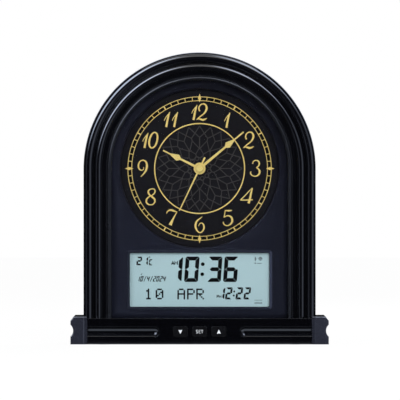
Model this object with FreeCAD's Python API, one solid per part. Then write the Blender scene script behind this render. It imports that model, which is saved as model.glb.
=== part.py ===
# Arched table clock: an analogue dial above a segment display, in a moulded case on a wide base.
# Millimetres. +Z is up, the dial faces -Y, and the origin is on the table under the middle of the base.
import FreeCAD
import Part
import math
import os

Vector = FreeCAD.Vector

# Overall sizes
total_height = 220.0
arch_radius = 87.5
cap_overhang = 9.5
cap_underlap = 3.1
base_depth = 62.0
foot_stand = 0.8

# Clearances
seam_gap = 0.3
run_gap = 0.05
slide_gap = 0.25
thread_gap = 0.02
edge_tolerance = 0.01

# Base
deck_top = 19.8
base_wall = 2.2
fascia_wall = 4.2
cap_proud = 2.5
cap_rise = 0.65
cap_chamfer = 2.4
cap_inner_chamfer = 0.6
cap_wall = 2.4
notch_z = 10.55
notch_height = 8.9
notch_depth = 2.0
flute_z = 9.55
flute_height = 8.1
flute_radius = 5.0
flute_inner_x = 29.2
bottom_thickness = 2.0
base_post_radius = 3.2
base_post_inset = 22.4
base_post_y = 19.0
foot_radius = 6.0
foot_recess = 0.6
foot_inset = 12.4
foot_y = 16.0
cap_screw_y = 15.0
wire_slot_width = 24.0
wire_slot_depth = 10.5

# Keys in the fascia
key_width = 11.5
key_height = 8.3
key_corner = 2.0
key_pitch = 14.45
key_z = 9.7
key_proud = 0.8
key_travel = 1.0
key_flange = 1.0
key_flange_thickness = 1.0
key_stem_radius = 1.5
key_stem_length = 0.9
plunger_radius = 1.2
plunger_bare = 1.2
plunger_inside = 1.0
switch_size = 6.0
switch_depth = 2.8
board_thickness = 1.6
key_board_height = 12.0

# Case front: roll, ridge, cove and lip, from the outside in
case_setback = 14.0
case_wall = 2.4
roll_radius = 3.65
roll_groove = 0.7
ridge_radius = 2.95
cove_width = 3.9
cove_depth = 0.15
cove_middle = 1.75
lip_radius = 1.7
lip_base = 1.1
glass_drop = 2.2
glass_seat = 4.2
front_wall = 1.95
rim_width = 2.2

# Case back
case_depth = 44.0
cover_wall = 2.2
cover_inset = 0.6
cover_rim_wall = 1.6
cover_rim_depth = 3.0
boss_radius = 3.5
boss_inset = 2.6
foot_boss_inset = 7.0
foot_boss_y = 2.0
foot_boss_pitch = 15.0
foot_boss_height = 12.0
rib_thickness = 2.0
counterbore = 1.2
cover_boss_angles = (50.0, 130.0)
cover_boss_rise = 22.2
cover_boss_drop = 24.5
panel_post_angles = (20.0, 90.0, 160.0)
panel_post_rise = 10.2
panel_post_drop = 42.5

# Glass, panel and dial
glass_thickness = 1.5
panel_rim = 1.5
panel_rim_width = 2.2
panel_thickness = 2.0
panel_post_radius = 2.6
dial_margin = 6.3
dial_thickness = 0.5
well_wall = 1.5
well_floor = 2.0

# Display
window_side = 13.7
window_sill = 8.35
well_gap = 0.35
bezel_width = 2.15
bezel_rise = 1.0
bezel_corner = 3.0
cell_margin = 2.0
cell_thickness = 2.4
guide_thickness = 2.6
guide_margin = 0.8
strip_height = 2.0
strip_length = 96.0
main_board_width = 124.0
main_board_foot = 2.85
board_screw_inset = 4.0
controller_x = -22.0
controller_radius = 8.0
chip_height = 2.0
memory_x = 18.0
memory_length = 11.0
amplifier_x = 36.0
amplifier_length = 6.0
crystal_x = -42.0
crystal_radius = 1.5
crystal_length = 8.0
capacitor_x = 48.0
capacitor_radius = 3.0
capacitor_height = 6.0
socket_width = 7.0
socket_height = 4.0
socket_depth = 4.0
socket_inset = 3.0
movement_socket_x = 24.0
speaker_socket_x = -24.0
battery_socket_x = -44.0

# Hands
hour_hand_lift = 1.2
hand_gap = 1.1
hand_thickness = 0.4
second_hand_thickness = 0.3
hub_radius = 4.45
hub_thickness = 0.5
hub_cap_radius = 3.0
hub_cap_height = 0.9
glass_gap = 0.9
hour_angle = 296.3
hour_length = 30.8
hour_leaf = 18.4
minute_angle = 50.3
minute_length = 43.2
minute_leaf = 27.7
leaf_width = 5.0
leaf_back = 2.3
leaf_front = 6.4
stem_width = 1.5
hour_root_width = 1.95
minute_root_width = 2.2
leaf_shoulder = 4.0
tip_width = 1.1
second_angle = 205.6
second_length = 35.4
second_tail = 9.3
second_tail_width = 1.3
second_root_width = 1.2
second_tip_width = 0.8
hub_cap_top_radius = 2.4

# Movement
movement_size = 56.0
movement_wall = 1.5
plate_thickness = 1.2
movement_cover_thickness = 2.0
ear_length = 8.0
ear_width = 9.0
ear_root = 1.0
core_post_radius = 1.5
movement_screw_inset = 4.0
bush_radius = 4.0
hour_tube_radius = 2.5
minute_tube_radius = 1.75
arbor_radius = 0.4
second_arbor_radius = 0.5
knob_arbor_radius = 1.0
post_radius = 0.5
wheel_thickness = 0.6
level_pitch = 1.4
level_start = 0.15
pivot_depth = 0.7

# Tooth form, as shares of the module and of the pitch
pressure_angle = 25.0
addendum = 0.75
dedendum = 1.05
tooth_share = 0.88
flank_steps = 3

# Wheel train: teeth and modules
train_module = 0.25
rotor_teeth = 10
intermediate_teeth = 50
intermediate_pinion_teeth = 10
second_teeth = 60
second_pinion_teeth = 8
third_teeth = 60
third_pinion_teeth = 8
centre_teeth = 64
motion_module = 0.36
cannon_teeth = 12
minute_teeth = 36
minute_pinion_teeth = 10
hour_teeth = 40
knob_pinion_teeth = 12

# Motor
magnet_radius = 3.0
magnet_thickness = 2.0
air_gap = 0.4
stator_thickness = 1.2
coil_radius = 2.9
coil_length = 17.0
coil_flange = 0.8
coil_flange_rise = 0.3
core_height = 4.4
coil_z = 18.0
coil_x = -9.5
core_length = 28.5
pole_height = 10.0
pole_width = 11.0
stator_arm = 3.0
stator_drop = 5.0
circuit_thickness = 1.0
circuit_x = 13.0
circuit_width = 16.0
circuit_height = 12.0
circuit_chip_radius = 2.5
circuit_chip_height = 0.8
circuit_chip_offset = 3.0
timer_crystal_radius = 1.0
timer_crystal_length = 6.0

# Setting knob
knob_radius = 8.0
knob_thickness = 3.0
knob_stand = 0.5
knob_flutes = 24
knob_flute_radius = 0.5

# Speaker
speaker_radius = 22.5
speaker_gap = 4.0
speaker_screw_angles = (30.0, 150.0, 270.0)
speaker_flange = 1.0
speaker_depth = 10.0
magnet_ring_radius = 12.0
magnet_ring_depth = 6.0
speaker_wall = 0.8
cone_wall = 0.5
cone_clear = 0.7
cone_inset = 2.1
voice_tube_radius = 5.4
speaker_screw_length = 2.0
speaker_washer_radius = 3.6
speaker_rim = 2.0
grille_radius = 18.0
grille_pitch = 4.5
grille_slot = 2.2

# Dry cells
cell_radius = 7.1
cell_length = 50.5
nub_length = 1.0
nub_radius = 2.6
bay_rise = 30.2
contact_reach = 5.7
bay_wall = 1.5
bay_slack = 0.8
contact_thickness = 0.4
spring_room = 3.0
door_margin = 2.0
door_thickness = 1.6
door_travel = 8.0
door_frame = 2.0
tongue_reach = 1.1
tongue_thickness = 0.7
door_lip = 0.9
grip_count = 4
grip_pitch = 2.5
grip_start = 4.0
grip_half = 8.0
grip_width = 1.0
grip_depth = 0.5

# Volume switch
slider_x = 55.0
slider_slot_height = 4.0
slider_knob_length = 4.0
slider_knob_height = 3.4
slider_travel = 4.0
slider_proud = 1.4
slide_switch_length = 14.0
slide_switch_height = 7.0
slide_switch_depth = 4.0
slide_board_width = 26.0
slide_board_height = 10.0

# Screws and leads
screw_radius = 1.2
screw_head_radius = 2.4
screw_head_height = 1.4
screw_bite = 8.0
pilot_depth = 10.0
cap_screw_bite = 5.0
cap_pilot_depth = 6.5
small_screw_radius = 0.9
small_head_radius = 1.8
small_head_height = 1.0
small_screw_bite = 2.6
small_pilot_depth = 3.0
ear_pilot_depth = 1.6
ear_screw_bite = 1.4
lead_radius = 0.6
lead_bend = 3.0
lead_spacing = 2.2
lead_loop = 5.0
lead_sweep = 24.0
lead_tail = 2.0
bay_lead_rise = 6.0

# Heights and planes that follow from the sizes
arch_z = total_height - arch_radius
case_front_y = -base_depth / 2 + case_setback
roll_base_y = case_front_y + roll_radius
glass_front_y = roll_base_y + glass_drop
glass_back_y = glass_front_y + glass_thickness
panel_front_y = glass_back_y + panel_rim
panel_back_y = panel_front_y + panel_thickness
hand_stack = hour_hand_lift + 2 * hand_thickness + 2 * hand_gap + second_hand_thickness + hub_cap_height
dial_front_y = glass_back_y + hand_stack + glass_gap
floor_front_y = dial_front_y + dial_thickness
floor_back_y = floor_front_y + well_floor
case_back_y = case_front_y + case_depth
cover_inner_y = case_back_y - cover_wall
base_width = 2 * (arch_radius + cap_overhang)
fascia_half = arch_radius - cap_underlap
base_front_y = -base_depth / 2 + cap_proud
base_back_y = base_depth / 2 - cap_proud
base_inner_y = base_front_y + fascia_wall
case_inner = arch_radius - case_wall

# Radii of the case front, which are half widths on its straight sides
ridge_outer = arch_radius - 2 * roll_radius - roll_groove
ridge_inner = ridge_outer - 2 * ridge_radius
lip_outer = ridge_inner - cove_width
lip_inner = lip_outer - 2 * lip_radius
glass_half = lip_inner + glass_seat
rim_inner = glass_half + seam_gap
rim_outer = rim_inner + rim_width
front_back_y = roll_base_y + front_wall
cover_boss_r = case_inner - boss_inset
panel_half = cover_boss_r - boss_radius - seam_gap
panel_post_r = (rim_outer + panel_half) / 2

# Dial and display window
dial_radius = lip_inner - dial_margin
window_width = 2 * (lip_inner - window_side)
window_top = arch_z - dial_radius - well_wall - well_gap - cell_margin
window_bottom = deck_top + window_sill
window_height = window_top - window_bottom
window_z = (window_top + window_bottom) / 2

# Train levels, from the front plate back
plate_back_y = floor_back_y + plate_thickness
hour_level = plate_back_y + level_start
motion_level = hour_level + level_pitch
centre_level = motion_level + level_pitch
third_level = centre_level + level_pitch
second_level = third_level + level_pitch
intermediate_level = second_level + level_pitch
magnet_y = intermediate_level + level_pitch
stator_y = magnet_y + (magnet_thickness - stator_thickness) / 2
core_y = stator_y - stator_thickness
movement_inner_y = magnet_y + magnet_thickness + level_pitch
movement_back_y = movement_inner_y + movement_cover_thickness
arbor_back_y = movement_inner_y + pivot_depth
arbor_front_y = plate_back_y - pivot_depth

# Train axes, measured from the hands' axis
intermediate_x = -(intermediate_pinion_teeth + second_teeth) * train_module / 2
rotor_x = intermediate_x - (rotor_teeth + intermediate_teeth) * train_module / 2
third_x = (second_pinion_teeth + third_teeth) * train_module / 2
centre_module = 2 * third_x / (third_pinion_teeth + centre_teeth)
minute_wheel_z = -(cannon_teeth + minute_teeth) * motion_module / 2
hour_module = -2 * minute_wheel_z / (minute_pinion_teeth + hour_teeth)
knob_z = minute_wheel_z - (minute_teeth + knob_pinion_teeth) * motion_module / 2

# Planes of the hands
hour_back_y = dial_front_y - hour_hand_lift
minute_back_y = hour_back_y - hand_thickness - hand_gap
second_back_y = minute_back_y - hand_thickness - hand_gap

# Display stack
cell_front_y = panel_back_y
cell_back_y = cell_front_y + cell_thickness
main_board_y = cell_back_y + guide_thickness
main_board_back_y = main_board_y + board_thickness
lcd_half_x = window_width / 2 + cell_margin
lcd_half_z = window_height / 2 + cell_margin
main_board_height = window_z + lcd_half_z - deck_top - main_board_foot
main_board_z = window_z + lcd_half_z - main_board_height / 2

# Dry cell bay
bay_z = deck_top + bay_rise
slider_z = bay_z
bay_half_x = (cell_length + spring_room + 2 * contact_thickness) / 2
bay_half_z = 2 * cell_radius + bay_slack
door_half_x = bay_half_x + door_margin
door_half_z = bay_half_z + door_margin
door_outer_y = case_back_y - slide_gap / 2
door_inner_y = door_outer_y - door_thickness
door_floor_y = door_inner_y - slide_gap / 2
cell_y = door_floor_y - cell_radius - seam_gap
bay_floor_y = cell_y - cell_radius - seam_gap
lead_y = bay_floor_y - bay_wall - seam_gap - lead_radius
frame_inner_y = cover_inner_y - door_frame

# Pieces on the rear cover
speaker_z = movement_size / 2 + speaker_gap + speaker_radius
speaker_front_y = cover_inner_y - speaker_flange
knob_front_y = case_back_y + knob_stand
knob_back_y = knob_front_y + knob_thickness
slide_board_back_y = cover_inner_y - slide_switch_depth

# Key stack, from the key face back
key_face_y = base_front_y - key_proud
flange_back_y = base_inner_y + key_flange_thickness
stem_end_y = flange_back_y + key_stem_length
switch_front_y = stem_end_y + plunger_bare
key_board_y = switch_front_y + switch_depth
key_xs = (-key_pitch, 0.0, key_pitch)
key_post_x = key_pitch + key_width / 2 + key_flange + slide_gap + panel_post_radius
key_board_width = 2 * (key_post_x + panel_post_radius)


def box(x0, x1, y0, y1, z0, z1):
    return Part.makeBox(x1 - x0, y1 - y0, z1 - z0, Vector(x0, y0, z0))


def cylinder_x(x0, x1, y, z, radius):
    return Part.makeCylinder(radius, x1 - x0, Vector(x0, y, z), Vector(1, 0, 0))


def cylinder_y(x, z, radius, y0, y1):
    return Part.makeCylinder(radius, y1 - y0, Vector(x, y0, z), Vector(0, 1, 0))


def cylinder_z(x, y, radius, z0, z1):
    return Part.makeCylinder(radius, z1 - z0, Vector(x, y, z0), Vector(0, 0, 1))


def cone_y(x, z, radius0, radius1, y0, y1):
    return Part.makeCone(radius0, radius1, y1 - y0, Vector(x, y0, z), Vector(0, 1, 0))


def fuse(shapes):
    whole = shapes[0]
    if len(shapes) > 1:
        whole = shapes[0].multiFuse(shapes[1:])
    return whole.removeSplitter()


def cut(shape, tools):
    for tool in tools:
        shape = shape.cut(tool)
    return shape


def group(shapes):
    return Part.makeCompound(shapes)


def save(name, shape):
    shape.exportStep(os.path.join("parts", name + ".step"))


def plate_y(points, y0, y1):
    """An outline of (x, z) points, extruded along Y."""
    corners = [Vector(x, y0, z) for x, z in points]
    face = Part.Face(Part.makePolygon(corners + corners[:1]))
    return face.extrude(Vector(0, y1 - y0, 0))


def rounded_y(x, z, width, height, radius, y0, y1):
    """A rounded rectangle about (x, z), extruded along Y."""
    block = box(x - width / 2, x + width / 2, y0, y1, z - height / 2, z + height / 2)
    corners = [edge for edge in block.Edges if abs(edge.tangentAt(edge.FirstParameter).y) > 0.9]
    return block.makeFillet(radius, corners)


def arch_y(half_width, y0, y1, bottom):
    """An arched slab: straight sides from bottom up to the arch centre, then a half round."""
    left = Vector(-half_width, y0, bottom)
    right = Vector(half_width, y0, bottom)
    spring_left = Vector(-half_width, y0, arch_z)
    spring_right = Vector(half_width, y0, arch_z)
    crown = Vector(0, y0, arch_z + half_width)
    outline = Part.Wire([
        Part.makeLine(left, right),
        Part.makeLine(right, spring_right),
        Part.Arc(spring_right, crown, spring_left).toShape(),
        Part.makeLine(spring_left, left),
    ])
    return Part.Face(outline).extrude(Vector(0, y1 - y0, 0))


def around_arch(radius, angle):
    """A point on the arch, at a radius from its centre and an angle from the right-hand side."""
    return radius * math.cos(math.radians(angle)), arch_z + radius * math.sin(math.radians(angle))


def cover_boss_places():
    """Centres of the six long bosses that the rear cover is screwed to."""
    places = [around_arch(cover_boss_r, angle) for angle in cover_boss_angles]
    for z in (deck_top + cover_boss_rise, arch_z - cover_boss_drop):
        places.append((-cover_boss_r, z))
        places.append((cover_boss_r, z))
    return places


def panel_post_places():
    """Centres of the posts that the front panel is screwed to."""
    places = [around_arch(panel_post_r, angle) for angle in panel_post_angles]
    for z in (deck_top + panel_post_rise, arch_z - panel_post_drop):
        places.append((-panel_post_r, z))
        places.append((panel_post_r, z))
    return places


def foot_boss_places():
    """Centres (x, y) of the bosses that fasten the case down to the base."""
    x = case_inner - foot_boss_inset
    rows = (foot_boss_y, foot_boss_y + foot_boss_pitch)
    return [(side * x, y) for side in (-1, 1) for y in rows]


def screw_y(x, z, head_y, length, forward, radius, head_radius, head_height):
    """A pan-head screw along Y. Its head seats at head_y and its shank runs forward (-Y) or back (+Y)."""
    way = -1.0 if forward else 1.0
    head = Part.makeCylinder(head_radius, head_height, Vector(x, head_y, z), Vector(0, -way, 0))
    shank = Part.makeCylinder(radius - thread_gap, length, Vector(x, head_y, z), Vector(0, way, 0))
    return fuse([head, shank])


def screw_z(x, y, head_z, length, radius, head_radius, head_height):
    """A pan-head screw that points up. Its head seats at head_z."""
    head = Part.makeCylinder(head_radius, head_height, Vector(x, y, head_z), Vector(0, 0, -1))
    shank = Part.makeCylinder(radius - thread_gap, length, Vector(x, y, head_z), Vector(0, 0, 1))
    return fuse([head, shank])


# Case

def case_profile():
    """Section of the case front and side wall, as x out from the arch centre against y."""
    def at(radius, y):
        return Vector(radius, y, arch_z)

    roll_in = arch_radius - 2 * roll_radius
    lip_y = glass_front_y - lip_base
    cove_y = lip_y + cove_depth
    edges = [
        Part.makeLine(at(arch_radius, cover_inner_y), at(arch_radius, roll_base_y)),
        Part.Arc(at(arch_radius, roll_base_y), at(arch_radius - roll_radius, case_front_y),
                 at(roll_in, roll_base_y)).toShape(),
        Part.makeLine(at(roll_in, roll_base_y), at(ridge_outer, roll_base_y)),
        Part.Arc(at(ridge_outer, roll_base_y), at(ridge_outer - ridge_radius, roll_base_y - ridge_radius),
                 at(ridge_inner, roll_base_y)).toShape(),
        Part.Arc(at(ridge_inner, roll_base_y), at(ridge_inner - cove_middle, cove_y),
                 at(lip_outer, lip_y)).toShape(),
        Part.Arc(at(lip_outer, lip_y), at(lip_outer - lip_radius, lip_y - lip_radius),
                 at(lip_inner, lip_y)).toShape(),
    ]
    corners = [
        at(lip_inner, lip_y),
        at(lip_inner, glass_front_y),
        at(rim_inner, glass_front_y),
        at(rim_inner, panel_front_y),
        at(rim_outer, panel_front_y),
        at(rim_outer, front_back_y),
        at(case_inner, front_back_y),
        at(case_inner, cover_inner_y),
        at(arch_radius, cover_inner_y),
    ]
    edges += [Part.makeLine(a, b) for a, b in zip(corners, corners[1:])]
    return Part.Face(Part.Wire(edges))


def front_housing():
    """The arched case: one moulding with its rolls, side wall, bosses and panel posts."""
    profile = case_profile()
    crown = profile.revolve(Vector(0, 0, arch_z), Vector(0, 1, 0), -180.0)
    leg = profile.extrude(Vector(0, 0, deck_top - arch_z))
    other_leg = leg.mirror(Vector(0, 0, 0), Vector(1, 0, 0))
    pieces = [crown, leg, other_leg]
    for x, z in cover_boss_places():
        pieces.append(cylinder_y(x, z, boss_radius, front_back_y, cover_inner_y))
    for x, z in panel_post_places():
        pieces.append(cylinder_y(x, z, panel_post_radius, front_back_y, panel_front_y))
    for x, y in foot_boss_places():
        side = math.copysign(1.0, x)
        pieces.append(cylinder_z(x, y, boss_radius, deck_top, deck_top + foot_boss_height))
        inner, outer = sorted((x, side * (case_inner + case_wall / 2)))
        pieces.append(box(inner, outer, y - rib_thickness / 2, y + rib_thickness / 2,
                          deck_top, deck_top + foot_boss_height))
    pilots = []
    for x, z in cover_boss_places():
        pilots.append(cylinder_y(x, z, screw_radius, cover_inner_y - pilot_depth, cover_inner_y))
    for x, z in panel_post_places():
        pilots.append(cylinder_y(x, z, small_screw_radius, panel_front_y - small_pilot_depth, panel_front_y))
    for x, y in foot_boss_places():
        pilots.append(cylinder_z(x, y, screw_radius, deck_top, deck_top + pilot_depth))
    return cut(fuse(pieces), pilots)


def front_glass():
    """Clear acrylic sheet, seated behind the lip."""
    return arch_y(glass_half, glass_front_y, glass_back_y, deck_top)


def front_panel():
    """Satin inner panel with the dial well, the display bezel and the post flange."""
    flange = arch_y(panel_half, panel_front_y, panel_back_y, deck_top)
    rim = arch_y(glass_half, glass_back_y, panel_front_y, deck_top)
    rim = rim.cut(arch_y(glass_half - panel_rim_width, glass_back_y, panel_front_y, deck_top))
    bezel = rounded_y(0, window_z, window_width + 2 * bezel_width, window_height + 2 * bezel_width,
                      bezel_corner, panel_front_y - bezel_rise, panel_front_y)
    well = cylinder_y(0, arch_z, dial_radius + well_wall, panel_front_y, floor_back_y)
    body = fuse([flange, rim, bezel, well])
    tools = [
        cylinder_y(0, arch_z, dial_radius, panel_front_y, floor_front_y),
        cylinder_y(0, arch_z, bush_radius + seam_gap, floor_front_y, floor_back_y),
        box(-window_width / 2, window_width / 2, panel_front_y - bezel_rise, panel_back_y,
            window_z - window_height / 2, window_z + window_height / 2),
    ]
    for x, z in panel_post_places():
        tools.append(cylinder_y(x, z, small_screw_radius + thread_gap, panel_front_y, panel_back_y))
    for x, z in board_screw_places():
        body = body.fuse(cylinder_y(x, z, panel_post_radius, panel_back_y, main_board_y))
        tools.append(cylinder_y(x, z, small_screw_radius, panel_back_y, main_board_y))
    for x, z in movement_ear_places():
        tools.append(cylinder_y(x, z, small_screw_radius, floor_back_y - ear_pilot_depth, floor_back_y))
    return cut(body, tools)


def panel_screws():
    """Seven screws that hold the panel to the case posts."""
    return [screw_y(x, z, panel_back_y, panel_thickness + small_screw_bite, True, small_screw_radius,
                    small_head_radius, small_head_height) for x, z in panel_post_places()]


def rear_cover():
    """Back of the case: arched plate, locating rim, grille, cell bay and switch slot."""
    bottom = deck_top + seam_gap
    plate = arch_y(arch_radius - cover_inset, cover_inner_y, case_back_y, bottom)
    rim_half = case_inner - seam_gap
    rim = arch_y(rim_half, cover_inner_y - cover_rim_depth, cover_inner_y, bottom)
    rim = rim.cut(arch_y(rim_half - cover_rim_wall, cover_inner_y - cover_rim_depth, cover_inner_y, bottom))
    rim = cut(rim, [cylinder_y(x, z, boss_radius + seam_gap, cover_inner_y - cover_rim_depth, cover_inner_y)
                    for x, z in cover_boss_places()])
    rim = cut(rim, [box(min(0, x * 2), max(0, x * 2), y - boss_radius, y + boss_radius,
                        deck_top, deck_top + foot_boss_height + seam_gap) for x, y in foot_boss_places()])
    tub_x = bay_half_x + bay_wall
    tub_z = bay_half_z + bay_wall
    tub = box(-tub_x, tub_x, bay_floor_y - bay_wall, cover_inner_y, bay_z - tub_z, bay_z + tub_z)
    recess_bottom = bay_z - door_half_z - door_travel - slide_gap
    recess_top = bay_z + door_half_z + slide_gap
    frame_x = door_half_x + tongue_reach + door_frame
    frame = box(-frame_x, frame_x, frame_inner_y, cover_inner_y, recess_bottom - door_frame,
                recess_top + door_frame)
    pieces = [plate, rim, tub, frame]
    for x, z in slide_board_posts():
        pieces.append(cylinder_y(x, z, panel_post_radius, slide_board_back_y, cover_inner_y))
    for x, z in speaker_post_places():
        pieces.append(cylinder_y(x, z, panel_post_radius, speaker_front_y, cover_inner_y))
    body = fuse(pieces)
    tools = [
        box(-bay_half_x, bay_half_x, bay_floor_y, door_floor_y, bay_z - bay_half_z, bay_z + bay_half_z),
        box(-door_half_x - slide_gap, door_half_x + slide_gap, door_floor_y, case_back_y,
            recess_bottom, recess_top),
        box(-door_half_x - tongue_reach - slide_gap, door_half_x + tongue_reach + slide_gap,
            door_floor_y, case_back_y - door_lip, recess_bottom, recess_top),
        cylinder_y(0, arch_z + knob_z, knob_arbor_radius + seam_gap, cover_inner_y, case_back_y),
        box(slider_x - slider_knob_length / 2 - slide_gap, slider_x + slider_travel + slider_knob_length / 2
            + slide_gap, cover_inner_y, case_back_y, slider_z - slider_slot_height / 2,
            slider_z + slider_slot_height / 2),
    ]
    for x, z in cover_boss_places():
        tools.append(cylinder_y(x, z, screw_radius + seam_gap, cover_inner_y, case_back_y))
        tools.append(cylinder_y(x, z, screw_head_radius + seam_gap, case_back_y - counterbore, case_back_y))
    for x, z in slide_board_posts():
        tools.append(cylinder_y(x, z, small_screw_radius, slide_board_back_y, cover_inner_y))
    for x, z in speaker_post_places():
        tools.append(cylinder_y(x, z, small_screw_radius, speaker_front_y,
                                speaker_front_y + speaker_screw_length + thread_gap))
    slot_count = int(grille_radius // grille_pitch)
    for row in range(-slot_count, slot_count + 1):
        offset = row * grille_pitch
        half = math.sqrt(grille_radius ** 2 - offset ** 2)
        if half > grille_slot:
            z = arch_z + speaker_z + offset
            tools.append(box(-half, half, cover_inner_y, case_back_y,
                             z - grille_slot / 2, z + grille_slot / 2))
    return cut(body, tools)


def cover_screws():
    return [screw_y(x, z, case_back_y - counterbore, cover_wall - counterbore + screw_bite, True,
                    screw_radius, screw_head_radius, screw_head_height) for x, z in cover_boss_places()]


def case_foot_screws():
    """Four screws from inside the base up into the case."""
    return [screw_z(x, y, deck_top - base_wall, base_wall + screw_bite, screw_radius, screw_head_radius,
                    screw_head_height) for x, y in foot_boss_places()]


# Base

def base_post_places():
    x = fascia_half - base_post_inset
    return [(-x, -base_post_y), (-x, base_post_y), (x, -base_post_y), (x, base_post_y)]


def foot_places():
    x = fascia_half - foot_inset
    return [(-x, -foot_y), (-x, foot_y), (x, -foot_y), (x, foot_y)]


def cap_screw_ys():
    return (-cap_screw_y, cap_screw_y)


def key_board_posts():
    return [(-key_post_x, key_z), (key_post_x, key_z)]


def base_housing():
    """Hollow base moulding: fluted fascia with key openings, deck, end walls and back."""
    body = box(-fascia_half, fascia_half, base_front_y, base_back_y, foot_stand, deck_top)
    inside = box(-fascia_half + base_wall, fascia_half - base_wall, base_inner_y, base_back_y - base_wall,
                 foot_stand, deck_top - base_wall)
    body = body.cut(inside)
    post_bottom = foot_stand + bottom_thickness
    posts = [cylinder_z(x, y, base_post_radius, post_bottom, deck_top - base_wall)
             for x, y in base_post_places()]
    for x, z in key_board_posts():
        posts.append(cylinder_y(x, z, panel_post_radius, base_inner_y, key_board_y))
    body = fuse([body] + posts)
    flute_y = base_front_y - math.sqrt(flute_radius ** 2 - (flute_height / 2) ** 2)
    tools = []
    for side in (-1.0, 1.0):
        inner = side * (flute_inner_x + flute_radius)
        x0, x1 = sorted((inner, side * fascia_half))
        tools.append(cylinder_x(x0, x1, flute_y, flute_z, flute_radius))
        tools.append(Part.makeSphere(flute_radius, Vector(inner, flute_y, flute_z)))
    for x in key_xs:
        tools.append(rounded_y(x, key_z, key_width + 2 * slide_gap, key_height + 2 * slide_gap,
                               key_corner + slide_gap, base_front_y, base_inner_y))
    for x, y in foot_boss_places():
        tools.append(cylinder_z(x, y, screw_radius + seam_gap, deck_top - base_wall, deck_top))
    tools.append(box(-wire_slot_width / 2, wire_slot_width / 2, main_board_back_y,
                     main_board_back_y + wire_slot_depth, deck_top - base_wall, deck_top))
    for y in cap_screw_ys():
        for side in (-1.0, 1.0):
            x0, x1 = sorted((side * (fascia_half - base_wall), side * fascia_half))
            tools.append(cylinder_x(x0, x1, y, notch_z, screw_radius + thread_gap))
    for x, y in base_post_places():
        tools.append(cylinder_z(x, y, screw_radius, post_bottom, post_bottom + pilot_depth))
    for x, z in key_board_posts():
        tools.append(cylinder_y(x, z, small_screw_radius, key_board_y - small_pilot_depth, key_board_y))
    return cut(body, tools)


def base_bottom():
    """Plate that closes the base from below, with shallow seats for the feet."""
    top = foot_stand + bottom_thickness
    plate = box(-fascia_half + base_wall + seam_gap, fascia_half - base_wall - seam_gap,
                base_inner_y + seam_gap, base_back_y - base_wall - seam_gap, foot_stand, top)
    tools = [cylinder_z(x, y, foot_radius, foot_stand, foot_stand + foot_recess) for x, y in foot_places()]
    for x, y in base_post_places():
        tools.append(cylinder_z(x, y, screw_radius + thread_gap, foot_stand, top))
        tools.append(cylinder_z(x, y, screw_head_radius + thread_gap, foot_stand,
                                foot_stand + screw_head_height - foot_recess))
    return cut(plate, tools)


def bottom_screws():
    seat = foot_stand + screw_head_height - foot_recess
    return [screw_z(x, y, seat, bottom_thickness + screw_bite, screw_radius, screw_head_radius,
                    screw_head_height - foot_recess) for x, y in base_post_places()]


def rubber_feet():
    return group([cylinder_z(x, y, foot_radius, 0.0, foot_stand + foot_recess) for x, y in foot_places()])


def edges_near(body, x, y, z):
    """Straight edges whose middle has the given coordinates; None leaves one free."""
    found = []
    for edge in body.Edges:
        middle = edge.CenterOfMass
        offsets = [abs(have - want) for have, want in zip(middle, (x, y, z)) if want is not None]
        if max(offsets) < edge_tolerance:
            found.append(edge)
    return found


def end_cap(side):
    """End moulding that stands proud of the fascia, notched along its outer side and seating the case."""
    outer = base_width / 2
    front = base_depth / 2
    top = deck_top + cap_rise
    notch_radius = ((notch_height / 2) ** 2 + notch_depth ** 2) / (2 * notch_depth)
    body = box(fascia_half, outer, -front, front, foot_stand, top)
    body = body.makeChamfer(cap_chamfer, edges_near(body, outer, None, top))
    body = body.makeChamfer(cap_proud, edges_near(body, fascia_half, -front, None)
                            + edges_near(body, fascia_half, front, None))
    body = body.makeChamfer(cap_inner_chamfer, edges_near(body, fascia_half, None, top))
    notch = cylinder_y(outer + notch_radius - notch_depth, notch_z, notch_radius, -front, front)
    cavity_x = outer - notch_depth - cap_wall
    cavity = box(fascia_half, cavity_x, base_front_y + cap_wall, base_back_y - cap_wall,
                 foot_stand + cap_wall, deck_top - cap_wall)
    seat = box(fascia_half, arch_radius + seam_gap, case_front_y - seam_gap, case_back_y + seam_gap,
               deck_top, top)
    body = cut(body, [notch, cavity, seat])
    bosses = [cylinder_x(fascia_half, cavity_x, y, notch_z, boss_radius) for y in cap_screw_ys()]
    pilots = [cylinder_x(fascia_half, fascia_half + cap_pilot_depth, y, notch_z, screw_radius)
              for y in cap_screw_ys()]
    body = cut(fuse([body] + bosses), pilots)
    if side < 0:
        body = body.mirror(Vector(0, 0, 0), Vector(1, 0, 0))
    return body


def cap_screws():
    """Two screws at each end, from inside the base out into the cap bosses."""
    shapes = []
    seat = fascia_half - base_wall
    for side in (-1.0, 1.0):
        for y in cap_screw_ys():
            head = Part.makeCylinder(screw_head_radius, screw_head_height, Vector(side * seat, y, notch_z),
                                     Vector(-side, 0, 0))
            shank = Part.makeCylinder(screw_radius - thread_gap, base_wall + cap_screw_bite,
                                      Vector(side * seat, y, notch_z), Vector(side, 0, 0))
            shapes.append(fuse([head, shank]))
    return shapes


# Keys

def key(x):
    """A key with its retaining flange behind the fascia and a stem to the switch."""
    face = rounded_y(x, key_z, key_width, key_height, key_corner, key_face_y, base_inner_y)
    flange = box(x - key_width / 2 - key_flange, x + key_width / 2 + key_flange, base_inner_y, flange_back_y,
                 key_z - key_height / 2 - key_flange, key_z + key_height / 2 + key_flange)
    stem = cylinder_y(x, key_z, key_stem_radius, flange_back_y, stem_end_y)
    return fuse([face, flange, stem])


def switch_plunger(x):
    return cylinder_y(x, key_z, plunger_radius, stem_end_y, switch_front_y + plunger_inside)


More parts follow.
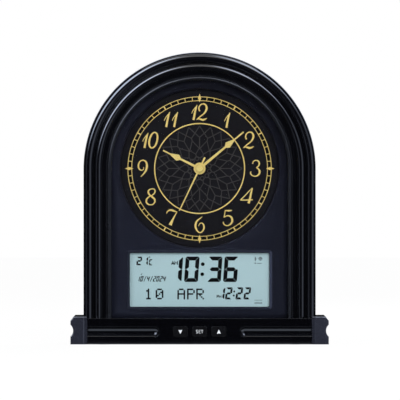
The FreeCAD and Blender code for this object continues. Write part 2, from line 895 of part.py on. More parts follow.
def key_switches():
    """Three push switches with a bore for the plunger."""
    shapes = []
    for x in key_xs:
        body = box(x - switch_size / 2, x + switch_size / 2, switch_front_y, key_board_y,
                   key_z - switch_size / 2, key_z + switch_size / 2)
        bore = cylinder_y(x, key_z, plunger_radius + run_gap, switch_front_y,
                          switch_front_y + plunger_inside + key_travel + run_gap)
        shapes.append(body.cut(bore))
    return group(shapes)


def key_board():
    body = box(-key_board_width / 2, key_board_width / 2, key_board_y, key_board_y + board_thickness,
               key_z - key_board_height / 2, key_z + key_board_height / 2)
    return cut(body, [cylinder_y(x, z, small_screw_radius + thread_gap, key_board_y,
                                 key_board_y + board_thickness) for x, z in key_board_posts()])


def key_board_screws():
    return [screw_y(x, z, key_board_y + board_thickness, board_thickness + small_screw_bite, True,
                    small_screw_radius, small_head_radius, small_head_height)
            for x, z in key_board_posts()]


# Display and main board

def board_screw_places():
    x = main_board_width / 2 - board_screw_inset
    low = main_board_z - main_board_height / 2 + board_screw_inset
    high = main_board_z + main_board_height / 2 - board_screw_inset
    return [(-x, low), (x, low), (-x, high), (x, high)]


def display_cell():
    """Liquid crystal cell, behind the window."""
    return box(-lcd_half_x, lcd_half_x, cell_front_y, cell_back_y,
               window_z - lcd_half_z, window_z + lcd_half_z)


def light_guide():
    """Diffusing plate between the cell and the board."""
    half_z = lcd_half_z - strip_height - guide_margin
    return box(-lcd_half_x, lcd_half_x, cell_back_y, main_board_y, window_z - half_z, window_z + half_z)


def contact_strips():
    """Rubber strips that join the cell's edges to the board."""
    shapes = []
    for side in (-1.0, 1.0):
        low, high = sorted((side * lcd_half_z, side * (lcd_half_z - strip_height)))
        shapes.append(box(-strip_length / 2, strip_length / 2, cell_back_y, main_board_y,
                          window_z + low, window_z + high))
    return group(shapes)


def main_board():
    low = main_board_z - main_board_height / 2
    body = box(-main_board_width / 2, main_board_width / 2, main_board_y, main_board_back_y,
               low, low + main_board_height)
    return cut(body, [cylinder_y(x, z, small_screw_radius + thread_gap, main_board_y, main_board_back_y)
                      for x, z in board_screw_places()])


def main_board_screws():
    return [screw_y(x, z, main_board_back_y, board_thickness + small_screw_bite, True, small_screw_radius,
                    small_head_radius, small_head_height) for x, z in board_screw_places()]


def board_components():
    """Controller, memory, amplifier, crystal, capacitor and the lead sockets."""
    y = main_board_back_y
    z = main_board_z
    half_chip = memory_length / 2
    half_amplifier = amplifier_length / 2
    half_socket = socket_width / 2
    shapes = [
        cylinder_y(controller_x, z, controller_radius, y, y + chip_height),
        box(memory_x - half_chip, memory_x + half_chip, y, y + chip_height, z - half_chip, z + half_chip),
        box(amplifier_x - half_amplifier, amplifier_x + half_amplifier, y, y + chip_height,
            z - half_amplifier, z + half_amplifier),
        cylinder_z(crystal_x, y + crystal_radius, crystal_radius,
                   z - crystal_length / 2, z + crystal_length / 2),
        cylinder_y(capacitor_x, z, capacitor_radius, y, y + capacitor_height),
    ]
    for x, socket_z in socket_places():
        shapes.append(box(x - half_socket, x + half_socket, y, y + socket_depth,
                          socket_z - socket_height / 2, socket_z + socket_height / 2))
    return group(shapes)


def socket_places():
    """Sockets for the movement, speaker, key and cell leads."""
    top = main_board_z + main_board_height / 2 - socket_inset
    bottom = main_board_z - main_board_height / 2 + socket_inset
    return [(movement_socket_x, top), (speaker_socket_x, top), (0.0, bottom), (battery_socket_x, bottom)]


# Dial and hands

def dial_plate():
    disc = cylinder_y(0, arch_z, dial_radius - seam_gap, dial_front_y, floor_front_y)
    return disc.cut(cylinder_y(0, arch_z, bush_radius + seam_gap, dial_front_y, floor_front_y))


def turned_hand(shape, angle):
    """Turn a hand drawn upwards to its angle, clockwise as seen from the front."""
    shape.rotate(Vector(0, 0, arch_z), Vector(0, 1, 0), angle)
    return shape


def leaf_outline(length, leaf, root_width):
    """Half outline of a leaf hand: stem, leaf and thin tip, mirrored to a closed outline."""
    half = [
        (root_width / 2, 0.0),
        (stem_width / 2, leaf - leaf_back),
        (leaf_shoulder / 2, leaf - leaf_back / 3),
        (leaf_width / 2, leaf),
        (leaf_shoulder / 2, leaf + leaf_front / 4),
        (tip_width / 2, leaf + leaf_front),
        (tip_width / 2, length),
    ]
    return half + [(-x, z) for x, z in reversed(half)]


def leaf_hand(length, leaf, root_width, back_y, bore, hub):
    points = [(x, arch_z + z) for x, z in leaf_outline(length, leaf, root_width)]
    blade = plate_y(points, back_y - hand_thickness, back_y)
    body = fuse([blade, hub])
    return body.cut(cylinder_y(0, arch_z, bore, back_y - hand_gap, back_y + hand_gap))


def hour_hand():
    hub = cylinder_y(0, arch_z, hub_radius, hour_back_y - hub_thickness, hour_back_y)
    return turned_hand(leaf_hand(hour_length, hour_leaf, hour_root_width, hour_back_y,
                                 hour_tube_radius + thread_gap, hub), hour_angle)


def minute_hand():
    hub = cylinder_y(0, arch_z, hub_radius, minute_back_y - hub_thickness, minute_back_y)
    return turned_hand(leaf_hand(minute_length, minute_leaf, minute_root_width, minute_back_y,
                                 minute_tube_radius + thread_gap, hub), minute_angle)


def second_hand():
    """Thin hand with a counter tail and the domed cap that hides the arbor's end."""
    points = [
        (-second_tail_width / 2, arch_z - second_tail),
        (second_tail_width / 2, arch_z - second_tail),
        (second_root_width / 2, arch_z),
        (second_tip_width / 2, arch_z + second_length),
        (-second_tip_width / 2, arch_z + second_length),
        (-second_root_width / 2, arch_z),
    ]
    blade = plate_y(points, second_back_y - second_hand_thickness, second_back_y)
    cap_y = second_back_y - second_hand_thickness
    cap = cone_y(0, arch_z, hub_cap_top_radius, hub_cap_radius, cap_y - hub_cap_height, second_back_y)
    bore = cylinder_y(0, arch_z, second_arbor_radius + thread_gap, cap_y, second_back_y)
    return turned_hand(fuse([blade, cap]).cut(bore), second_angle)


# Movement

def involute_angle(radius, base_radius):
    """Polar angle of the involute at a radius, from its start on the base circle."""
    roll = math.sqrt(max((radius / base_radius) ** 2 - 1.0, 0.0))
    return roll - math.atan(roll)


def gear(x, z, teeth, module, y0, y1, bore, phase):
    """A spur wheel with involute flanks, turned so that a tooth points along phase."""
    pitch_radius = teeth * module / 2
    base_radius = pitch_radius * math.cos(math.radians(pressure_angle))
    tip_radius = pitch_radius + addendum * module
    root_radius = pitch_radius - dedendum * module
    tooth = 2 * math.pi / teeth
    half_at_pitch = tooth / 4 * tooth_share
    start = max(base_radius, root_radius)
    points = []
    for number in range(teeth):
        centre = phase + number * tooth
        flank = []
        for step in range(flank_steps + 1):
            radius = start + (tip_radius - start) * step / flank_steps
            half = half_at_pitch + involute_angle(pitch_radius, base_radius)
            half -= involute_angle(radius, base_radius)
            flank.append((radius, half))
        side = [(root_radius, flank[0][1])] if root_radius < start else []
        side += flank
        for radius, half in side:
            points.append((radius, centre - half))
        for radius, half in reversed(side):
            points.append((radius, centre + half))
    outline = [(x + radius * math.cos(angle), z + radius * math.sin(angle)) for radius, angle in points]
    blank = plate_y(outline, y0, y1)
    if bore > 0:
        blank = blank.cut(cylinder_y(x, z, bore, y0, y1))
    return blank


def mesh_phase(phase, teeth, other_teeth, direction):
    """Phase that puts a second wheel in mesh with one at phase, in a direction from its centre."""
    pitch = 2 * math.pi / teeth
    other_pitch = 2 * math.pi / other_teeth
    return direction + math.pi + other_pitch * (0.5 - (phase - direction) / pitch)


def second_wheel():
    """Second wheel with its pinion, on the long arbor that carries the second hand."""
    wheel = gear(0, arch_z, second_teeth, train_module, second_level, second_level + wheel_thickness, 0, 0.0)
    pinion = gear(0, arch_z, second_pinion_teeth, train_module, third_level, second_level, 0, 0.0)
    arbor = cylinder_y(0, arch_z, second_arbor_radius, second_back_y - second_hand_thickness, arbor_back_y)
    return fuse([wheel, pinion, arbor])


def intermediate_wheel():
    pinion_phase = mesh_phase(0.0, second_teeth, intermediate_pinion_teeth, math.pi)
    z = arch_z
    wheel = gear(intermediate_x, z, intermediate_teeth, train_module, intermediate_level,
                 intermediate_level + wheel_thickness, 0, 0.0)
    pinion = gear(intermediate_x, z, intermediate_pinion_teeth, train_module, second_level,
                  intermediate_level, 0, pinion_phase)
    arbor = cylinder_y(intermediate_x, z, arbor_radius, arbor_front_y, arbor_back_y)
    return fuse([wheel, pinion, arbor])


def rotor():
    """Magnet disc, pinion and arbor of the stepping motor."""
    pinion_phase = mesh_phase(0.0, intermediate_teeth, rotor_teeth, math.pi)
    magnet = cylinder_y(rotor_x, arch_z, magnet_radius, magnet_y, magnet_y + magnet_thickness)
    pinion = gear(rotor_x, arch_z, rotor_teeth, train_module, intermediate_level, magnet_y, 0, pinion_phase)
    arbor = cylinder_y(rotor_x, arch_z, arbor_radius, arbor_front_y, arbor_back_y)
    return fuse([magnet, pinion, arbor])


def third_wheel():
    wheel_phase = mesh_phase(0.0, second_pinion_teeth, third_teeth, 0.0)
    wheel = gear(third_x, arch_z, third_teeth, train_module, third_level, third_level + wheel_thickness, 0,
                 wheel_phase)
    pinion = gear(third_x, arch_z, third_pinion_teeth, centre_module, centre_level, third_level, 0, 0.0)
    arbor = cylinder_y(third_x, arch_z, arbor_radius, arbor_front_y, arbor_back_y)
    return fuse([wheel, pinion, arbor])


def centre_wheel():
    """Centre wheel, cannon pinion and the tube that carries the minute hand."""
    wheel_phase = mesh_phase(0.0, third_pinion_teeth, centre_teeth, math.pi)
    wheel = gear(0, arch_z, centre_teeth, centre_module, centre_level, centre_level + wheel_thickness, 0,
                 wheel_phase)
    cannon = gear(0, arch_z, cannon_teeth, motion_module, motion_level, centre_level, 0, 0.0)
    tube = cylinder_y(0, arch_z, minute_tube_radius, minute_back_y - hub_thickness, centre_level)
    body = fuse([wheel, cannon, tube])
    return body.cut(cylinder_y(0, arch_z, second_arbor_radius + run_gap, minute_back_y - hub_thickness,
                               centre_level + wheel_thickness))


def minute_wheel():
    """Motion-work wheel and pinion that step the minute hand's turn down to the hour wheel."""
    z = arch_z + minute_wheel_z
    wheel_phase = mesh_phase(0.0, cannon_teeth, minute_teeth, -math.pi / 2)
    wheel = gear(0, z, minute_teeth, motion_module, motion_level, motion_level + wheel_thickness, 0,
                 wheel_phase)
    pinion = gear(0, z, minute_pinion_teeth, hour_module, hour_level, motion_level, 0, 0.0)
    body = fuse([wheel, pinion])
    return body.cut(cylinder_y(0, z, post_radius + run_gap, hour_level, motion_level + wheel_thickness))


def hour_wheel():
    """Hour wheel on the tube that carries the hour hand."""
    wheel_phase = mesh_phase(0.0, minute_pinion_teeth, hour_teeth, math.pi / 2)
    wheel = gear(0, arch_z, hour_teeth, hour_module, hour_level, hour_level + wheel_thickness, 0, wheel_phase)
    tube = cylinder_y(0, arch_z, hour_tube_radius, hour_back_y - hub_thickness, hour_level)
    body = fuse([wheel, tube])
    return body.cut(cylinder_y(0, arch_z, minute_tube_radius + run_gap, hour_back_y - hub_thickness,
                               hour_level + wheel_thickness))


def setting_arbor():
    """Arbor with the setting pinion, from the front plate out through the rear cover."""
    z = arch_z + knob_z
    wheel_phase = mesh_phase(0.0, cannon_teeth, minute_teeth, -math.pi / 2)
    pinion_phase = mesh_phase(wheel_phase, minute_teeth, knob_pinion_teeth, -math.pi / 2)
    pinion = gear(0, z, knob_pinion_teeth, motion_module, motion_level, motion_level + wheel_thickness, 0,
                  pinion_phase)
    pivot = cylinder_y(0, z, post_radius, arbor_front_y, motion_level)
    shaft = cylinder_y(0, z, knob_arbor_radius, motion_level, knob_back_y - knob_thickness / 2)
    return fuse([pinion, pivot, shaft])


def setting_knob():
    """Fluted knob behind the rear cover."""
    z = arch_z + knob_z
    disc = cylinder_y(0, z, knob_radius, knob_front_y, knob_back_y)
    tools = [cylinder_y(0, z, knob_arbor_radius + thread_gap, knob_front_y, knob_back_y - knob_thickness / 2)]
    for number in range(knob_flutes):
        angle = 2 * math.pi * number / knob_flutes
        tools.append(cylinder_y(knob_radius * math.cos(angle), z + knob_radius * math.sin(angle),
                                knob_flute_radius, knob_front_y, knob_back_y))
    return cut(disc, tools)


def movement_ear_places():
    x = movement_size / 2 + ear_length / 2
    return [(-x, arch_z), (x, arch_z)]


def train_bores():
    """Bearing bores (x, z, radius) that front plate and rear cover share."""
    return [
        (intermediate_x, arch_z, arbor_radius + run_gap),
        (rotor_x, arch_z, arbor_radius + run_gap),
        (third_x, arch_z, arbor_radius + run_gap),
    ]


def movement_case():
    """Front half of the movement: plate, side walls, bush, wheel post and fixing ears."""
    half = movement_size / 2
    body = box(-half, half, floor_back_y, movement_inner_y, arch_z - half, arch_z + half)
    body = body.cut(box(-half + movement_wall, half - movement_wall, plate_back_y, movement_inner_y,
                        arch_z - half + movement_wall, arch_z + half - movement_wall))
    bush = cylinder_y(0, arch_z, bush_radius, dial_front_y - seam_gap, floor_back_y)
    post_z = arch_z + minute_wheel_z
    post = cylinder_y(0, post_z, post_radius, plate_back_y, motion_level + wheel_thickness)
    board_post = cylinder_y(circuit_x, arch_z + coil_z, panel_post_radius, plate_back_y, stator_y)
    pieces = [body, bush, post, board_post]
    for x, z in movement_ear_places():
        pieces.append(box(x - ear_length / 2 - ear_root, x + ear_length / 2, floor_back_y, plate_back_y,
                          z - ear_width / 2, z + ear_width / 2))
    pieces += [cylinder_y(x, arch_z + coil_z, core_post_radius, plate_back_y, core_y) for x in core_ends()]
    pieces += [cylinder_y(x, z, panel_post_radius, plate_back_y, movement_inner_y)
               for x, z in movement_screw_places()]
    tools = [cylinder_y(0, arch_z, hour_tube_radius + run_gap, dial_front_y - seam_gap, plate_back_y)]
    tools += [cylinder_y(x, z, small_screw_radius, movement_inner_y - small_pilot_depth, movement_inner_y)
              for x, z in movement_screw_places()]
    pivot_end = arbor_front_y - run_gap
    tools += [cylinder_y(x, z, radius, pivot_end, plate_back_y) for x, z, radius in train_bores()]
    tools.append(cylinder_y(0, arch_z + knob_z, post_radius + run_gap, pivot_end, plate_back_y))
    for x, z in movement_ear_places():
        tools.append(cylinder_y(x, z, small_screw_radius + thread_gap, floor_back_y, plate_back_y))
    return cut(fuse(pieces), tools)


def movement_cover():
    """Rear half of the movement, with the rear bearings."""
    half = movement_size / 2
    body = box(-half, half, movement_inner_y, movement_back_y, arch_z - half, arch_z + half)
    y0 = movement_inner_y
    pivot_end = arbor_back_y + run_gap
    tools = [cylinder_y(x, z, radius, y0, pivot_end) for x, z, radius in train_bores()]
    tools.append(cylinder_y(0, arch_z, second_arbor_radius + run_gap, y0, pivot_end))
    tools.append(cylinder_y(0, arch_z + knob_z, knob_arbor_radius + run_gap, y0, movement_back_y))
    for x, z in movement_screw_places():
        tools.append(cylinder_y(x, z, small_screw_radius + thread_gap, y0, movement_back_y))
    return cut(body, tools)


def movement_screw_places():
    inset = movement_size / 2 - movement_screw_inset
    return [(x, arch_z + z) for x in (-inset, inset) for z in (-inset, inset)]


def movement_screws():
    """Two screws through the ears and four through the movement's cover."""
    shapes = [screw_y(x, z, plate_back_y, plate_thickness + ear_screw_bite, True, small_screw_radius,
                      small_head_radius, small_head_height) for x, z in movement_ear_places()]
    for x, z in movement_screw_places():
        shapes.append(screw_y(x, z, movement_back_y, movement_cover_thickness + small_screw_bite, True,
                              small_screw_radius, small_head_radius, small_head_height))
    return group(shapes)


def core_ends():
    return (coil_x - core_length / 2 + core_height / 2, coil_x + core_length / 2 - core_height / 2)


def coil_core():
    z = arch_z + coil_z
    return box(coil_x - core_length / 2, coil_x + core_length / 2, core_y, stator_y,
               z - core_height / 2, z + core_height / 2)


def drive_coil():
    """Winding between two flanges, on the core."""
    z = arch_z + coil_z
    y = core_y + stator_thickness / 2
    x0 = coil_x - coil_length / 2
    x1 = coil_x + coil_length / 2
    winding = cylinder_x(x0, x1, y, z, coil_radius)
    flanges = [cylinder_x(x0, x0 + coil_flange, y, z, coil_radius + coil_flange_rise),
               cylinder_x(x1 - coil_flange, x1, y, z, coil_radius + coil_flange_rise)]
    slot = box(x0, x1, core_y - thread_gap, stator_y + thread_gap, z - core_height / 2 - thread_gap,
               z + core_height / 2 + thread_gap)
    return fuse([winding] + flanges).cut(slot)


def stator():
    """Soft iron plate from both ends of the core to the pole round the magnet."""
    y0 = stator_y
    y1 = stator_y + stator_thickness
    left, right = core_ends()
    top = arch_z + coil_z + core_height / 2
    pole_left = rotor_x - pole_width / 2
    pole_right = rotor_x + pole_width / 2
    shelf = arch_z + coil_z - core_height / 2 - stator_drop
    pieces = [
        box(pole_left, pole_right, y0, y1, arch_z - pole_height / 2, arch_z + pole_height / 2),
        box(left - core_height / 2, left + core_height / 2, y0, y1, arch_z - pole_height / 2, top),
        box(pole_right - stator_arm, pole_right, y0, y1, arch_z, shelf + stator_arm),
        box(pole_right - stator_arm, right + core_height / 2, y0, y1, shelf, shelf + stator_arm),
        box(right - core_height / 2, right + core_height / 2, y0, y1, shelf, top),
    ]
    hole = cylinder_y(rotor_x, arch_z, magnet_radius + air_gap, y0, y1)
    return fuse(pieces).cut(hole)


def movement_circuit():
    """Small board with the timekeeping chip."""
    z = arch_z + coil_z
    y = stator_y
    body = box(circuit_x - circuit_width / 2, circuit_x + circuit_width / 2, y, y + circuit_thickness,
               z - circuit_height / 2, z + circuit_height / 2)
    chip = cylinder_y(circuit_x - circuit_chip_offset, z, circuit_chip_radius, y + circuit_thickness,
                      y + circuit_thickness + circuit_chip_height)
    return fuse([body, chip])


def quartz_crystal():
    z = arch_z + coil_z
    y = stator_y + circuit_thickness
    return cylinder_z(circuit_x + circuit_chip_offset, y + timer_crystal_radius, timer_crystal_radius,
                      z - timer_crystal_length / 2, z + timer_crystal_length / 2)


# Cells and door

def dry_cell(z, side):
    """One cylindrical cell with its nub towards the given side."""
    body_length = cell_length - nub_length
    end = side * (bay_half_x - contact_thickness)
    nub = sorted((end, end - side * nub_length))
    can = sorted((end - side * nub_length, end - side * cell_length))
    return fuse([cylinder_x(can[0], can[1], cell_y, z, cell_radius),
                 cylinder_x(nub[0], nub[1], cell_y, z, nub_radius)])


def dry_cells():
    offset = cell_radius + bay_slack / 2
    return group([dry_cell(bay_z + offset, 1.0), dry_cell(bay_z - offset, -1.0)])


def battery_contacts():
    """Two single contacts and the bridge, each a plate with a sprung leaf at the flat end of a cell."""
    offset = cell_radius + bay_slack / 2
    nub_plate = contact_plate(1.0, bay_z + offset, bay_z + offset)
    flat_plate = contact_plate(1.0, bay_z - offset, bay_z - offset)
    bridge = contact_plate(-1.0, bay_z - offset, bay_z + offset)
    return group([nub_plate, fuse([flat_plate, leaf_spring(1.0, bay_z - offset)]),
                  fuse([bridge, leaf_spring(-1.0, bay_z + offset)])])


def contact_plate(side, low, high):
    """Strip on the end wall of the bay, behind the cell ends at low to high."""
    x0, x1 = sorted((side * bay_half_x, side * (bay_half_x - contact_thickness)))
    return box(x0, x1, cell_y - contact_reach, cell_y + contact_reach,
               low - contact_reach, high + contact_reach)


def leaf_spring(side, z):
    """A bowed strip that presses on the flat end of a cell."""
    reach = contact_reach
    inner = side * (bay_half_x - contact_thickness)
    tip = inner - side * (spring_room - thread_gap)
    points = [
        (inner, z - reach),
        (tip, z - contact_thickness),
        (tip, z + contact_thickness),
        (inner, z + reach),
        (inner, z + reach - 2 * contact_thickness),
        (tip + side * contact_thickness, z),
        (inner, z - reach + 2 * contact_thickness),
    ]
    return plate_y(points, cell_y - reach / 2, cell_y + reach / 2)


def battery_door():
    """Door with side tongues that run in the cover's grooves, and finger ridges."""
    x = door_half_x
    z0 = bay_z - door_half_z
    z1 = bay_z + door_half_z
    plate = box(-x, x, door_inner_y, door_outer_y, z0, z1)
    tongues = box(-x - tongue_reach, x + tongue_reach, door_inner_y, door_inner_y + tongue_thickness, z0, z1)
    grooves = []
    for row in range(grip_count):
        z = z0 + grip_start + row * grip_pitch
        grooves.append(box(-grip_half, grip_half, door_outer_y - grip_depth, door_outer_y, z, z + grip_width))
    return cut(fuse([plate, tongues]), grooves)


# Speaker

def speaker_post_places():
    """Posts just outside the speaker's flange, with a screw whose head clamps it."""
    z = arch_z + speaker_z
    places = []
    for angle in speaker_screw_angles:
        radius = speaker_radius + panel_post_radius + seam_gap
        places.append((radius * math.cos(math.radians(angle)), z + radius * math.sin(math.radians(angle))))
    return places


def speaker_frame():
    """Pressed basket: flange against the cover, sloping wall and a seat for the magnet."""
    z = arch_z + speaker_z
    flange = cylinder_y(0, z, speaker_radius, speaker_front_y, cover_inner_y)
    mouth = speaker_radius - speaker_rim - speaker_wall
    basket = cone_y(0, z, magnet_ring_radius, speaker_radius - speaker_rim, speaker_front_y - speaker_depth,
                    speaker_front_y)
    inside = cone_y(0, z, magnet_ring_radius - speaker_wall, mouth,
                    speaker_front_y - speaker_depth + speaker_wall, speaker_front_y)
    return cut(fuse([flange, basket]), [inside, cylinder_y(0, z, mouth, speaker_front_y, cover_inner_y)])


def speaker_magnet():
    z = arch_z + speaker_z
    back = speaker_front_y - speaker_depth
    return cylinder_y(0, z, magnet_ring_radius, back - magnet_ring_depth, back)


def speaker_cone():
    """Paper cone with its dust cap, inside the basket."""
    z = arch_z + speaker_z
    back = speaker_front_y - speaker_depth + speaker_wall + cone_clear
    mouth = speaker_radius - speaker_rim - speaker_wall
    wide = mouth - cone_clear
    narrow = magnet_ring_radius - speaker_wall - cone_inset
    outer = cone_y(0, z, narrow, wide, back, speaker_front_y)
    inner = cone_y(0, z, narrow - cone_wall, wide - cone_wall, back + cone_wall, speaker_front_y)
    voice_tube = cylinder_y(0, z, voice_tube_radius, back - cone_clear, back)
    surround = cylinder_y(0, z, mouth - run_gap, speaker_front_y, speaker_front_y + cone_wall)
    surround = surround.cut(cylinder_y(0, z, wide - cone_wall, speaker_front_y, speaker_front_y + cone_wall))
    return fuse([outer.cut(inner), voice_tube, surround])


def speaker_screws():
    return group([screw_y(x, z, speaker_front_y, speaker_screw_length, False, small_screw_radius,
                          speaker_washer_radius, small_head_height) for x, z in speaker_post_places()])


# Volume switch

def slide_board_posts():
    offset = slide_board_width / 2 - panel_post_radius
    middle = slider_x + slider_travel / 2
    return [(middle - offset, slider_z), (middle + offset, slider_z)]


def volume_board():
    middle = slider_x + slider_travel / 2
    half = slide_board_width / 2
    body = box(middle - half, middle + half, slide_board_back_y - board_thickness, slide_board_back_y,
               slider_z - slide_board_height / 2, slider_z + slide_board_height / 2)
    return cut(body, [cylinder_y(x, z, small_screw_radius + thread_gap, slide_board_back_y - board_thickness,
                                 slide_board_back_y) for x, z in slide_board_posts()])


def volume_screws():
    return [screw_y(x, z, slide_board_back_y - board_thickness, board_thickness + small_screw_bite, False,
                    small_screw_radius, small_head_radius, small_head_height)
            for x, z in slide_board_posts()]


def volume_switch():
    """Slide switch body with a channel for its slider."""
    middle = slider_x + slider_travel / 2
    half = slide_switch_length / 2
    body = box(middle - half, middle + half, slide_board_back_y, cover_inner_y,
               slider_z - slide_switch_height / 2, slider_z + slide_switch_height / 2)
    return body.cut(box(slider_x - slider_knob_length / 2 - slide_gap,
                        slider_x + slider_travel + slider_knob_length / 2 + slide_gap,
                        slide_board_back_y + slide_switch_depth / 2, cover_inner_y,
                        slider_z - slider_knob_height / 2 - slide_gap,
                        slider_z + slider_knob_height / 2 + slide_gap))


def volume_slider():
    return box(slider_x - slider_knob_length / 2, slider_x + slider_knob_length / 2,
               slide_board_back_y + slide_switch_depth / 2 + run_gap, case_back_y + slider_proud,
               slider_z - slider_knob_height / 2, slider_z + slider_knob_height / 2)


# Leads

def lead(points, radius):
    """A round lead: straight runs joined by tangent arcs."""
    places = [Vector(*point) for point in points]
    edges = []
    start = places[0]
    for before, corner, after in zip(places, places[1:], places[2:]):
        inward = (before - corner).normalize()
        outward = (after - corner).normalize()
        turn = math.pi - inward.getAngle(outward)
        reach = lead_bend * math.tan(turn / 2)
        first = corner + inward * reach
        last = corner + outward * reach
        middle = (inward + outward).normalize()
        centre_distance = lead_bend / math.cos(turn / 2)
        middle_point = corner + middle * (centre_distance - lead_bend)
        edges.append(Part.makeLine(start, first))
        edges.append(Part.Arc(first, middle_point, last).toShape())
        start = last
    edges.append(Part.makeLine(start, places[-1]))
    path = Part.Wire(edges)
    way = (places[1] - places[0]).normalize()
    ring = Part.Wire([Part.makeCircle(radius, places[0], way)])
    return path.makePipeShell([ring], True, False)


def lead_pair(points):
    """Two leads side by side across X."""
    shifts = (-lead_spacing / 2, lead_spacing / 2)
    return [lead([(x + shift, y, z) for x, y, z in points], lead_radius) for shift in shifts]


def socket_exit(index):
    """Point on the rear face of a lead socket."""
    x, z = socket_places()[index]
    return x, main_board_back_y + socket_depth, z


def movement_leads():
    """Supply leads from the main board to the movement."""
    x, y, z = socket_exit(0)
    bottom = arch_z - movement_size / 2
    return lead_pair([(x, y, z), (x, lead_y, z), (x, lead_y, bottom)])


def speaker_leads():
    """Leads from the main board up beside the movement to the speaker."""
    x, y, z = socket_exit(1)
    side = -movement_size / 2 - ear_length - lead_bend
    end_z = arch_z + speaker_z
    back = speaker_front_y - speaker_depth - magnet_ring_depth / 2
    return lead_pair([(x, y, z), (x, lead_y, z), (side, lead_y, z + lead_sweep),
                      (side, lead_y, end_z - lead_sweep),
                      (-magnet_ring_radius - lead_spacing, back, end_z - lead_tail)])


def key_leads():
    """Leads from the key board up through the deck to the main board."""
    x, y, z = socket_exit(2)
    low = key_z + lead_tail
    back = y + lead_loop
    return lead_pair([(x, key_board_y + board_thickness, low), (x, back, low), (x, back, z), (x, y, z)])


def battery_leads():
    """Leads from the end of the cell bay to the main board."""
    x, y, z = socket_exit(3)
    end = -bay_half_x - bay_wall
    shapes = []
    for shift in (-lead_spacing / 2, lead_spacing / 2):
        top = bay_z + bay_lead_rise - shift
        shapes.append(lead([(x + shift, y, z), (x + shift, cell_y, z), (x + shift, cell_y, top),
                            (end, cell_y, top)], lead_radius))
    return shapes


def build():
    os.makedirs("parts", exist_ok=True)
    save("front_housing", front_housing())
    save("front_glass", front_glass())
    save("front_panel", front_panel())
    save("rear_cover", rear_cover())
    save("cover_screws", group(cover_screws()))
    save("base_housing", base_housing())
    save("base_bottom", base_bottom())
    save("base_screws", group(bottom_screws() + case_foot_screws() + cap_screws()))
    save("rubber_feet", rubber_feet())
    save("left_end_cap", end_cap(-1))
    save("right_end_cap", end_cap(1))
    for name, x in zip(("down", "set", "up"), key_xs):
        save(name + "_key", key(x))
        save(name + "_switch_plunger", switch_plunger(x))
    save("key_switches", key_switches())
    save("key_board", key_board())
    save("display_cell", display_cell())
    save("light_guide", light_guide())
    save("contact_strips", contact_strips())
    save("main_board", main_board())
    save("board_components", board_components())
    save("dial_plate", dial_plate())
    save("hour_hand", hour_hand())
    save("minute_hand", minute_hand())
    save("second_hand", second_hand())
    save("second_wheel", second_wheel())
    save("intermediate_wheel", intermediate_wheel())
    save("rotor", rotor())
    save("third_wheel", third_wheel())
    save("centre_wheel", centre_wheel())
    save("minute_wheel", minute_wheel())
    save("hour_wheel", hour_wheel())
    save("setting_arbor", setting_arbor())
    save("setting_knob", setting_knob())
    save("movement_case", movement_case())
    save("movement_cover", movement_cover())
    save("movement_screws", movement_screws())
    save("coil_core", coil_core())
    save("drive_coil", drive_coil())
    save("stator", stator())
    save("movement_circuit", movement_circuit())
    save("quartz_crystal", quartz_crystal())
    save("dry_cells", dry_cells())
    save("battery_contacts", battery_contacts())
    save("battery_door", battery_door())
    save("speaker_frame", speaker_frame())
    save("speaker_magnet", speaker_magnet())
    save("speaker_cone", speaker_cone())
    save("speaker_screws", speaker_screws())
    save("volume_board", volume_board())
    save("volume_switch", volume_switch())
    save("volume_slider", volume_slider())
    save("small_screws", group(panel_screws() + main_board_screws() + key_board_screws() + volume_screws()))
    save("movement_leads", group(movement_leads()))
    save("speaker_leads", group(speaker_leads()))
    save("key_leads", group(key_leads()))
    save("battery_leads", group(battery_leads()))


build()
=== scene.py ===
import math

import bmesh
import bpy
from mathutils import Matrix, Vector


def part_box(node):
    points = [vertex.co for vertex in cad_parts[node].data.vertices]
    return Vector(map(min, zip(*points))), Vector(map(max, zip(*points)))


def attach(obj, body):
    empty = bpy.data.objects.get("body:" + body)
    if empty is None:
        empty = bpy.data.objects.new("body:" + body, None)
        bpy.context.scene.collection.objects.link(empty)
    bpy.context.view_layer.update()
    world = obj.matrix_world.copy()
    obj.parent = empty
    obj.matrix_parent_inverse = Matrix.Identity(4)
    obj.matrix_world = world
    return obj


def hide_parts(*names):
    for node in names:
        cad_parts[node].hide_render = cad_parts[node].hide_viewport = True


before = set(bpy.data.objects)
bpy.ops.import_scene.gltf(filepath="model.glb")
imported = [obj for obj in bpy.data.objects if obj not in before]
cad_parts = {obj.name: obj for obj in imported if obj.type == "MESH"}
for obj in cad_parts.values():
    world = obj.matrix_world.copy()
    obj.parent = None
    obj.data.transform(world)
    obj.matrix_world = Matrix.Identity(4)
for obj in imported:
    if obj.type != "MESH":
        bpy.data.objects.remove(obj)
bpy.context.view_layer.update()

# Base moulding. One hollow shot of polished black ABS: a plain fascia with a half-round flute on each
# side of the key openings, a flat deck that carries the case, and end walls for the caps.
# Every outer edge keeps the small radius that the tool leaves.
MM = 0.001  # lengths are in millimetres from here on
TOUCH = 0.0001 * MM
ARCH_Z = 132.5
FASCIA_HALF = 84.4
FASCIA_Y = -28.5
BASE_BACK_Y = 28.5
BASE_LOW_Z = 0.25
BASE_WALL = 2.2
DECK_Z = 19.8
EDGE_ROLL = 0.5
FLUTE_Z = 9.55
FLUTE_HALF = 4.05
FLUTE_RADIUS = 5.0
FLUTE_END_X = 34.2
FLUTE_STOP_X = FASCIA_HALF - 0.04
KEY_XS = (-14.45, 0.0, 14.45)
KEY_Z = 9.7
KEY_HOLE = (12.0, 8.8, 2.25)


